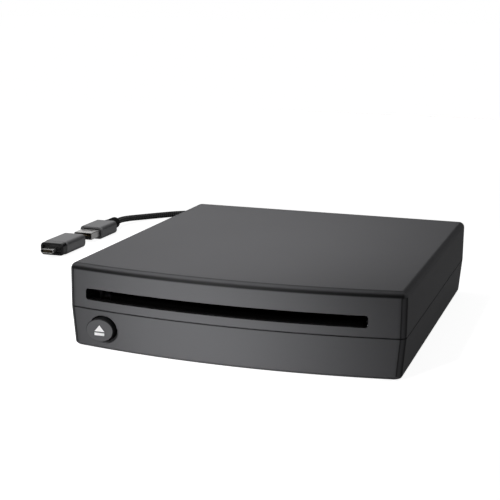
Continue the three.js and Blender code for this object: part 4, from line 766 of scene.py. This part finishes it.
def add_button():
    """The eject button, with a satin face and sides painted near black as painted shade. Its printed sign
    stays as the model has it.
    """
    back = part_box("eject_button")[1][1] / MM
    rim_y = BUTTON_FACE_Y + BUTTON_EDGE
    profile = [(AXIS, back), (BUTTON_WIDE, back), (BUTTON_WIDE, rim_y),
               *arc((BUTTON_WIDE - BUTTON_EDGE, rim_y), BUTTON_EDGE, 0, -90, 6),
               (BUTTON_WIDE - 0.6, BUTTON_FACE_Y), (3.4, BUTTON_FACE_Y), (AXIS, BUTTON_FACE_Y)]
    mesh = lathe("button", "y", profile, (BUTTON_X, BUTTON_Z), 96, BUTTON_HIGH / BUTTON_WIDE)
    finished(mesh, shell_plastic).materials.append(button_side_painted_shade)
    # Faces that don't look forward take the painted shade
    for face in mesh.polygons:
        face.material_index = 1 if face.normal.y > -0.8 else 0
    button = as_piece("button", mesh, "shell_plastic", "eject_button")
    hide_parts("eject_button")


add_button()

# Felt lips inside the slot: how far from its middle they reach, and how far behind the front
FELT_TIP, FELT_ROOT = 2.2, 5.8
FELT_NEAR, FELT_FAR = 2.3, 3.5
FELT_SOFT = 0.3
FELT_STEPS = 96


def add_felts():
    """Two strips that follow the bowed front, each with a slightly uneven edge."""
    for name, sign in (("slot_felt_upper", 1), ("slot_felt_lower", -1)):
        low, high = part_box(name)
        x0, x1 = low[0] / MM, high[0] / MM
        sections = []
        for i in range(FELT_STEPS + 1):
            x = x0 + (x1 - x0) * i / FELT_STEPS
            lip = SLOT_Z + sign * (FELT_TIP + 0.05 * math.sin(i * 1.9) + 0.04 * math.sin(i * 4.3))
            root, shoulder = SLOT_Z + sign * FELT_ROOT, lip + sign * FELT_SOFT
            near, far = front_y(x) + FELT_NEAR, front_y(x) + FELT_FAR
            sections.append([(x, near, root), (x, near, shoulder), (x, near + FELT_SOFT, lip),
                             (x, far - FELT_SOFT, lip), (x, far, shoulder), (x, far, root)])
        strip = as_piece(f"{name}_strip", loft(name, sections), "felt")
        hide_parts(name)


add_felts()

# Gland: the strain relief that the cord leaves the case through
GLAND_NECK = 3.6
GLAND_COLLAR = 4.8
GLAND_TAPER_START = 85.4
GLAND_TAPER_LENGTH = 12.5
GLAND_RIBS = 6
GLAND_RIB_PITCH = 1.85


def add_gland():
    """A flange inside the wall, a collar outside it, and a ribbed tail that narrows to the cord."""
    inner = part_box("cord_gland")[0][1] / MM
    flange = [(AXIS, inner), (4.3, inner), (4.5, inner + 0.3), (4.5, inner + 1.0)]
    neck = [(GLAND_NECK, inner + 1.25), (GLAND_NECK, 84.0)]
    collar = [(4.55, 84.02), (GLAND_COLLAR, 84.25), (GLAND_COLLAR, 85.0), (4.5, 85.3)]
    profile = [*flange, *neck, *collar, (3.75, GLAND_TAPER_START)]
    for i in range(GLAND_RIBS):
        y = 86.0 + i * GLAND_RIB_PITCH
        radius = 3.65 - 0.75 * (y - GLAND_TAPER_START) / GLAND_TAPER_LENGTH
        profile += [(radius, y), (radius, y + 0.75), (radius - 0.55, y + 0.95), (radius - 0.55, y + 1.6)]
    profile += [(2.85, 97.25), *arc((2.55, 97.6), 0.3, 0, 90, 4), (AXIS, 97.9)]
    mesh = lathe("gland", "y", profile, (GLAND_X, GLAND_Z), 56)
    gland = as_piece("gland", mesh, "rubber", sharp=40.0)
    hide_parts("cord_gland")


add_gland()

# Twist tie round the coil: half of its band's section in (across, outwards) pairs, and its twisted ends
TIE_SECTION = [(2.0, 0.1), (1.0, 0.12), (0.55, 0.2), (-0.55, 0.2), (-1.0, 0.12), (-2.0, 0.1)]
TIE_TOP = 9.7
TIE_STEPS = 96
TIE_ROUNDNESS = 0.45
BAND_HALF = 0.2
TWIST_HALF_LENGTH = 4.4
TWIST_Z = 10.45
TWIST_SPREAD = 0.35
TWIST_HALF_TURNS = 7
TWIST_STEPS = 60
STRAND_RADIUS = 0.3


def squared(value, power):
    """A sine or cosine that makes a circle squarer, for a power below 1."""
    return math.copysign(abs(value) ** power, value)


def add_tie():
    """A flat band round the coil, and its two ends twisted together on top."""
    low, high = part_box("cord_tie")
    x0, x1, z0 = low[0] / MM, high[0] / MM, low[2] / MM
    middle_x, middle_z = (x0 + x1) / 2, (z0 + TIE_TOP) / 2
    half_x, half_z = (x1 - x0) / 2 - BAND_HALF, (TIE_TOP - z0) / 2 - BAND_HALF
    loop = []
    for i in range(TIE_STEPS):
        angle = 2 * math.pi * i / TIE_STEPS
        x = middle_x + squared(math.cos(angle), TIE_ROUNDNESS) * half_x
        z = middle_z + squared(math.sin(angle), TIE_ROUNDNESS) * half_z
        loop.append(Vector((x, COIL_MIDDLE[1], z)))
    section = [*TIE_SECTION, *((across, -rise) for across, rise in reversed(TIE_SECTION))]
    rings = []
    for i, point in enumerate(loop):
        ahead = (loop[(i + 1) % TIE_STEPS] - loop[i - 1]).normalized()
        out = Vector((ahead.z, 0, -ahead.x))
        rings.append([tuple(point + Vector((0, across, 0)) + out * rise) for across, rise in section])
    rings.append(rings[0])
    band = loft("band", rings, caps=False)
    strands = []
    for start in (0, math.pi):
        route = []
        for i in range(TWIST_STEPS + 1):
            t = i / TWIST_STEPS
            angle = start + TWIST_HALF_TURNS * math.pi * t
            x = middle_x - TWIST_HALF_LENGTH + 2 * TWIST_HALF_LENGTH * t
            y = COIL_MIDDLE[1] + TWIST_SPREAD * math.sin(angle)
            route.append(Vector((x, y, TWIST_Z + TWIST_SPREAD * math.cos(angle))))
        strands.append(sweep("strand", route, STRAND_RADIUS, 10, False)[0])
    tie = as_piece("tie", joined("tie", [band, *strands]), "black_plastic", sharp=50.0)
    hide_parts("cord_tie")
    return tie


tie = add_tie()

# Connectors. A half is a half width and a half height
PLUG_X = -168.0
PLUG_Z = 4.1
BODY_HALF = (7.8, 4.0)
BODY_CORNER = 2.4
BODY_BEVEL = 0.4
TUBE_WALL = 0.3
CONTACTS = (-3.5, -1.1, 1.1, 3.5)
# The plug: its metal shell, its housing, and the boot behind that
SHELL_HALF = (6.0, 2.25)
SHELL_MOUTH = 123.5
SHELL_ROOT = 138.5
WINDOWS = (-2.9, 2.9)
WINDOW_HALF = 1.2
WINDOW_Y = 131.1
MOUTH_HALF = (6.35, 2.6)
BODY_FRONT = 135.5
BODY_BACK = 157.5
BOOT_LENGTH = 14.0
BOOT_FLARE = 8.0
BOOT_ROOT_HALF = (7.2, 3.4)
BOOT_RADIUS = 3.7
BOOT_TAIL = 13.2
BOOT_TAIL_ROUND = 0.8
BOOT_STEPS = 26
BOOT_SIDES = 64
# The adapter: the socket in its housing, and the core, which carries a small oval shell
SOCKET_HALF = (6.3, 2.55)
CORE_HALF = (7.55, 3.75)
CORE_CORNER = 2.2
NECK_HALF = (6.0, 2.25)
NECK_FRONT = 87.4
NECK_BACK = 98.9
OVAL_HALF = (4.125, 1.2)
OVAL_MOUTH = 75.7
OVAL_ROOT = 85.0
INSERT_HALF = (3.775, 0.85)
POCKET_HALF = (3.325, 0.3)
SMALL_PINS = 11
SMALL_PIN_PITCH = 0.5


def rows(sizes, corner):
    """Rounded outlines across Y: (y, half width, half height, inset of the corner)."""
    return [rounded(w, h, max(0.05, corner - drop), PLUG_X, PLUG_Z, y) for y, w, h, drop in sizes]


def row(y, half, drop=0.0, corner_drop=None):
    """A size for rows, drawn in on all sides, its corner by as much or by its own amount."""
    return y, half[0] - drop, half[1] - drop, drop if corner_drop is None else corner_drop


def rim(y, half, width, steps=3):
    """A rounded edge round an outline's front."""
    angles = [math.pi / 2 * i / steps for i in range(steps + 1)]
    return [row(y + width * (1 - math.cos(a)), half, width * (1 - math.sin(a))) for a in angles]


def tube(name, half, mouth, root, edge, mouth_wall, corners):
    """A thin metal shell, rounded outside at its mouth, where its wall is a little thinner."""
    outer = rows([*rim(mouth, half, edge), row(root, half)], corners[0])
    inside = [(mouth + 0.06, mouth_wall), (mouth + 0.25, TUBE_WALL), (root, TUBE_WALL)]
    inner = [rounded(half[0] - drop, half[1] - drop, corners[1], PLUG_X, PLUG_Z, y) for y, drop in inside]
    return loft(name, [*outer, *reversed(inner), outer[0]], caps=False)


def bar(name, x, half, y0, y1, z0, z1, soft=0.0):
    """A box of a half width, placed from the plug's axis."""
    return box_mesh(name, PLUG_X + x - half, PLUG_X + x + half, y0, y1, PLUG_Z + z0, PLUG_Z + z1, soft)


def plug_skin():
    """The metal shell, with two square windows in its top."""
    skin = tube("usb_shell", SHELL_HALF, SHELL_MOUTH, SHELL_ROOT, 0.1, 0.26, (0.55, 0.3))
    cutters = []
    for x in WINDOWS:
        ring = rounded(WINDOW_HALF, WINDOW_HALF, 0.15, PLUG_X + x, WINDOW_Y, 0.0, 3)
        cutters.append(loft("window", [[(a, c, b) for a, _, c in ring] for b in (0.0, 9.0)]))
    return finished(soften(carve("usb_shell", skin, cutters), 0.06, 50.0), finishes["nickel"])


def boot_rings():
    """A flare that narrows from a rectangle to a round, and a rounded tail."""
    rings = []
    for i in range(BOOT_STEPS + 1):
        y = BODY_BACK + BOOT_LENGTH * i / BOOT_STEPS
        ease = (1 - min(1.0, (y - BODY_BACK) / BOOT_FLARE)) ** 2
        power = 1.0 - 0.5 * ease
        tail = max(0.0, y - (BODY_BACK + BOOT_TAIL))
        shrink = BOOT_TAIL_ROUND - math.sqrt(max(0.0, BOOT_TAIL_ROUND ** 2 - tail * tail))
        wide, high = (BOOT_RADIUS + (root - BOOT_RADIUS) * ease - shrink for root in BOOT_ROOT_HALF)
        ring = []
        for k in range(BOOT_SIDES):
            angle = 2 * math.pi * k / BOOT_SIDES
            ring.append((PLUG_X + squared(math.cos(angle), power) * wide, y,
                         PLUG_Z + squared(math.sin(angle), power) * high))
        rings.append(ring)
    return rings


def add_plug():
    """The plug at the cord's far end, which stays on the cord."""
    shell = as_piece("usb_shell", plug_skin(), "nickel", sharp=50.0)
    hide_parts("plug_shell")
    # The tongue with its four contacts, the outer two of which reach further forward
    tongue = bar("usb_tongue", 0.0, 5.4, 124.1, SHELL_ROOT, -1.95, -0.2, 0.12)
    tongue_piece = as_piece("usb_tongue", tongue, "black_plastic")
    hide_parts("plug_tongue")
    contacts = [bar("contact", x, 0.5, 124.9 if abs(x) > 2 else 125.9, 133.5, -0.24, -0.12, 0.03)
                for x in CONTACTS]
    contact_piece = as_piece("usb_contacts", finished(joined("usb_contacts", contacts), gold), "nickel")
    # The housing, with a bright bevel and a fine groove near its mouth
    sizes = [row(139.0, MOUTH_HALF, 0.0, 1.6), row(BODY_FRONT + 0.12, MOUTH_HALF, 0.0, 1.0),
             row(BODY_FRONT, MOUTH_HALF, -0.15, 0.9), row(BODY_FRONT, BODY_HALF, BODY_BEVEL),
             row(BODY_FRONT + BODY_BEVEL, BODY_HALF), row(136.7, BODY_HALF),
             row(136.8, BODY_HALF, 0.12, 0.1), row(136.95, BODY_HALF, 0.12, 0.1), row(137.05, BODY_HALF),
             row(BODY_BACK - BODY_BEVEL, BODY_HALF), row(BODY_BACK, BODY_HALF, BODY_BEVEL)]
    mesh = loft("plug_body", rows(sizes, BODY_CORNER))
    housing = as_piece("plug_body", mesh, "anodised_aluminium", sharp=25.0)
    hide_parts("plug_housing")
    boot = as_piece("boot", loft("boot", boot_rings()), "rubber", sharp=60.0)
    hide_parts("plug_boot")
    return [shell, tongue_piece, contact_piece, housing, boot]


def add_adapter():
    """The adapter, which is a body of its own."""
    body = "adapter"
    # The housing: its outside from front to back, and then its socket
    low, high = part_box("adapter_housing")
    front, back = low[1] / MM, high[1] / MM
    sizes = [row(front, BODY_HALF, 0.35), row(front + 0.35, BODY_HALF), row(back - BODY_BEVEL, BODY_HALF),
             row(back, BODY_HALF, BODY_BEVEL), row(back, SOCKET_HALF, -0.2, 0.9),
             row(back - 0.12, SOCKET_HALF, -0.12, 1.0), row(99.0, SOCKET_HALF, 0.0, 1.6),
             row(front + 0.6, SOCKET_HALF, 0.0, 1.6)]
    rings = rows(sizes, BODY_CORNER)
    mesh = loft("adapter_body", [*rings, rings[0]], caps=False)
    housing = as_piece("adapter_body", mesh, "anodised_aluminium", body, sharp=25.0)
    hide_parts("adapter_housing")
    # The glossy core: its neck in the housing, its collar with a stepped front, and the socket's tongue
    sizes = [row(NECK_BACK, NECK_HALF, 0.4, 1.4), row(NECK_BACK, NECK_HALF, 0.0, 1.4),
             row(NECK_FRONT, NECK_HALF, 0.0, 1.4), row(87.2, CORE_HALF, 0.25), row(86.95, CORE_HALF),
             row(83.0, CORE_HALF), row(82.35, CORE_HALF, 0.1), row(82.2, CORE_HALF, 0.3),
             row(82.2, CORE_HALF, 1.3, 1.2), row(82.35, CORE_HALF, 1.5, 1.3),
             row(83.7, NECK_HALF, 0.0, 1.3), (83.8, 5.8, 2.1, 1.4)]
    tongue = bar("socket_tongue", 0.0, 5.1, 98.0, 107.7, 0.15, 1.55, 0.1)
    mesh = joined("adapter_collar", [loft("adapter_collar", rows(sizes, CORE_CORNER)), tongue])
    core = as_piece("adapter_collar", mesh, "gloss_black", body, sharp=25.0)
    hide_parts("adapter_core")
    contacts = [bar("pin", x, 0.5, 99.0, 107.0, 0.09, 0.2, 0.03) for x in CONTACTS]
    as_piece("socket_contacts", finished(joined("socket_contacts", contacts), gold), "nickel", body)
    # The small oval shell, and its insert with a pocket between two rows of contacts
    skin = tube("usb_c_skin", OVAL_HALF, OVAL_MOUTH, OVAL_ROOT, 0.12, 0.24, (1.199, 0.899))
    oval = as_piece("usb_c_skin", skin, "nickel", body, sharp=50.0)
    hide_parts("usb_c_shell")
    sizes = [row(82.0, POCKET_HALF, 0.0, 0.6), row(76.5, POCKET_HALF, 0.0, 0.6),
             row(76.5, INSERT_HALF, 0.15, 0.1), row(76.65, INSERT_HALF), row(84.5, INSERT_HALF)]
    mesh = loft("usb_c_core", rows(sizes, INSERT_HALF[1]))
    insert = as_piece("usb_c_core", mesh, "black_plastic", body, sharp=30.0)
    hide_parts("usb_c_insert")
    places = [SMALL_PIN_PITCH * (i - (SMALL_PINS - 1) / 2) for i in range(SMALL_PINS)]
    small = [bar("small_pin", x, 0.11, 76.45, 79.0, side * 0.33, side * 0.45)
             for x in places for side in (-1, 1)]
    as_piece("usb_c_contacts", finished(joined("usb_c_contacts", small), gold), "nickel", body)


plug_pieces = add_plug()
add_adapter()

# The rest keeps the model's shapes, each in its finish from the record
for subpart in frame["record"]["subparts"]:
    node = frame["nodes"].get(subpart["node"])
    finish = roller_rubber if subpart["node"] == "loading_roller" else finishes[subpart["material_slot"]]
    for slot in node.material_slots:
        slot.material = finish

# Floor, world and lamps
FLOOR_HALF = 6000.0
FLOOR_GREY = (0.30, 0.30, 0.30)
LIT_FLOOR = (0.6, 0.6, 0.6, 1.0)
FLOOR_GLOW = 0.9
MIRRORED_FLOOR = 0.12
WHITE = (1.0, 1.0, 1.0, 1.0)
AMBIENT = 0.172
MIRROR = 0.8
# The dark screen in reflections: its direction, where its soft edge starts and ends, and its light
SCREEN_WAY = (0.30, 0.95, 0.05)
SCREEN_START = 0.79
SCREEN_END = 0.93
SCREEN_LIGHT = 0.06


def mixed(tree, share, first, second):
    """Two shaders mixed: the first at a share of 0, and the second at 1."""
    mix = tree.nodes.new("ShaderNodeMixShader")
    for socket, output in zip(mix.inputs, (share, first, second)):
        tree.links.new(output, socket)
    return mix.outputs[0]


def add_stage():
    """A pale floor. The camera sees it bright, with its shadows, and bounced light meets a darker one."""
    n = Nodes("pale_floor")
    mesh = box_mesh("floor", -FLOOR_HALF, FLOOR_HALF, -FLOOR_HALF, FLOOR_HALF, -20.0, -0.05)
    floor = bpy.data.objects.new("floor", mesh)
    bpy.context.scene.collection.objects.link(floor)
    mesh.materials.append(n.material)
    nodes, links = n.tree.nodes, n.tree.links
    n.set(base_color=n.tint(FLOOR_GREY, n.spread(n.noise(3.0, 2.0), 0.995, 1.0)))
    n.set(roughness=0.9, specular=0.0)
    bright = nodes.new("ShaderNodeEmission")
    bright.inputs["Strength"].default_value = FLOOR_GLOW
    lit = nodes.new("ShaderNodeBsdfDiffuse")
    lit.inputs["Color"].default_value = LIT_FLOOR
    both = nodes.new("ShaderNodeAddShader")
    links.new(bright.outputs[0], both.inputs[0])
    links.new(lit.outputs[0], both.inputs[1])
    path = nodes.new("ShaderNodeLightPath")
    seen = n.math("MULTIPLY", path.outputs["Is Glossy Ray"], MIRRORED_FLOOR)
    for ray in ("Is Transmission Ray", "Is Camera Ray"):
        seen = n.math("MAXIMUM", path.outputs[ray], seen)
    look = mixed(n.tree, seen, n.shader.outputs[0], both.outputs[0])
    links.new(look, nodes["Material Output"].inputs["Surface"])


def add_world():
    """White for the camera, a dim even light, and a pale surround with one dark screen in reflections."""
    world = bpy.data.worlds.new("studio")
    bpy.context.scene.world = world
    world.use_nodes = True
    tree = world.node_tree
    nodes, links = tree.nodes, tree.links
    ground = nodes["Background"]
    shown = nodes.new("ShaderNodeBackground")
    for light, strength in ((ground, AMBIENT), (shown, 1.0)):
        light.inputs["Color"].default_value = WHITE
        light.inputs["Strength"].default_value = strength
    path = nodes.new("ShaderNodeLightPath")
    seen = nodes.new("ShaderNodeMath")
    seen.operation = "MAXIMUM"
    links.new(path.outputs["Is Camera Ray"], seen.inputs[0])
    links.new(path.outputs["Is Transmission Ray"], seen.inputs[1])
    mirror = nodes.new("ShaderNodeBackground")
    coordinates = nodes.new("ShaderNodeTexCoord")
    toward = nodes.new("ShaderNodeVectorMath")
    toward.operation = "DOT_PRODUCT"
    toward.inputs[1].default_value = SCREEN_WAY
    links.new(coordinates.outputs["Generated"], toward.inputs[0])
    side = nodes.new("ShaderNodeMapRange")
    side.interpolation_type = "SMOOTHSTEP"
    links.new(toward.outputs["Value"], side.inputs["Value"])
    ends = {"From Min": SCREEN_START, "From Max": SCREEN_END, "To Min": MIRROR, "To Max": SCREEN_LIGHT}
    for name, value in ends.items():
        side.inputs[name].default_value = value
    links.new(side.outputs[0], mirror.inputs["Strength"])
    around = mixed(tree, path.outputs["Is Glossy Ray"], ground.outputs[0], mirror.outputs[0])
    look = mixed(tree, seen.outputs[0], around, shown.outputs[0])
    links.new(look, nodes["World Output"].inputs["Surface"])


def add_lamp(name, azimuth, elevation, distance, width, height, power, aim, spread=180.0, mirrored=True):
    """A soft rectangular lamp. Azimuth 0 is in front of the player and 90 at its right."""
    a, e = math.radians(azimuth), math.radians(elevation)
    way = Vector((math.sin(a) * math.cos(e), -math.cos(a) * math.cos(e), math.sin(e)))
    data = bpy.data.lights.new(name, "AREA")
    data.shape = "RECTANGLE"
    data.size = width
    data.size_y = height
    data.energy = power
    data.spread = math.radians(spread)
    lamp = bpy.data.objects.new(name, data)
    lamp.visible_glossy = mirrored
    lamp.location = Vector(aim) + way * distance
    lamp.rotation_euler = way.to_track_quat("Z", "Y").to_euler()
    bpy.context.scene.collection.objects.link(lamp)


add_stage()
add_world()
add_lamp("overhead", azimuth=-80.0, elevation=68.0, distance=0.9, width=0.22, height=0.22, power=0.1,
         aim=(-0.088, 0.042, 0.038), spread=15.5, mirrored=False)
add_lamp("left", azimuth=-110.0, elevation=62.0, distance=0.5, width=0.3, height=0.3, power=0.082,
         aim=(-0.06, -0.04, 0.03), spread=100.0)
add_lamp("key", azimuth=-21.0, elevation=22.0, distance=1.0, width=0.075, height=0.075, power=0.049,
         aim=(-0.0105, -0.08, 0.0153), spread=10.1)
add_lamp("rear", azimuth=180.0, elevation=0.0, distance=0.9, width=0.5, height=0.03, power=2.4,
         aim=(0.0, 0.08, 0.02), mirrored=False)

scene = bpy.context.scene
scene.view_settings.view_transform = "Standard"
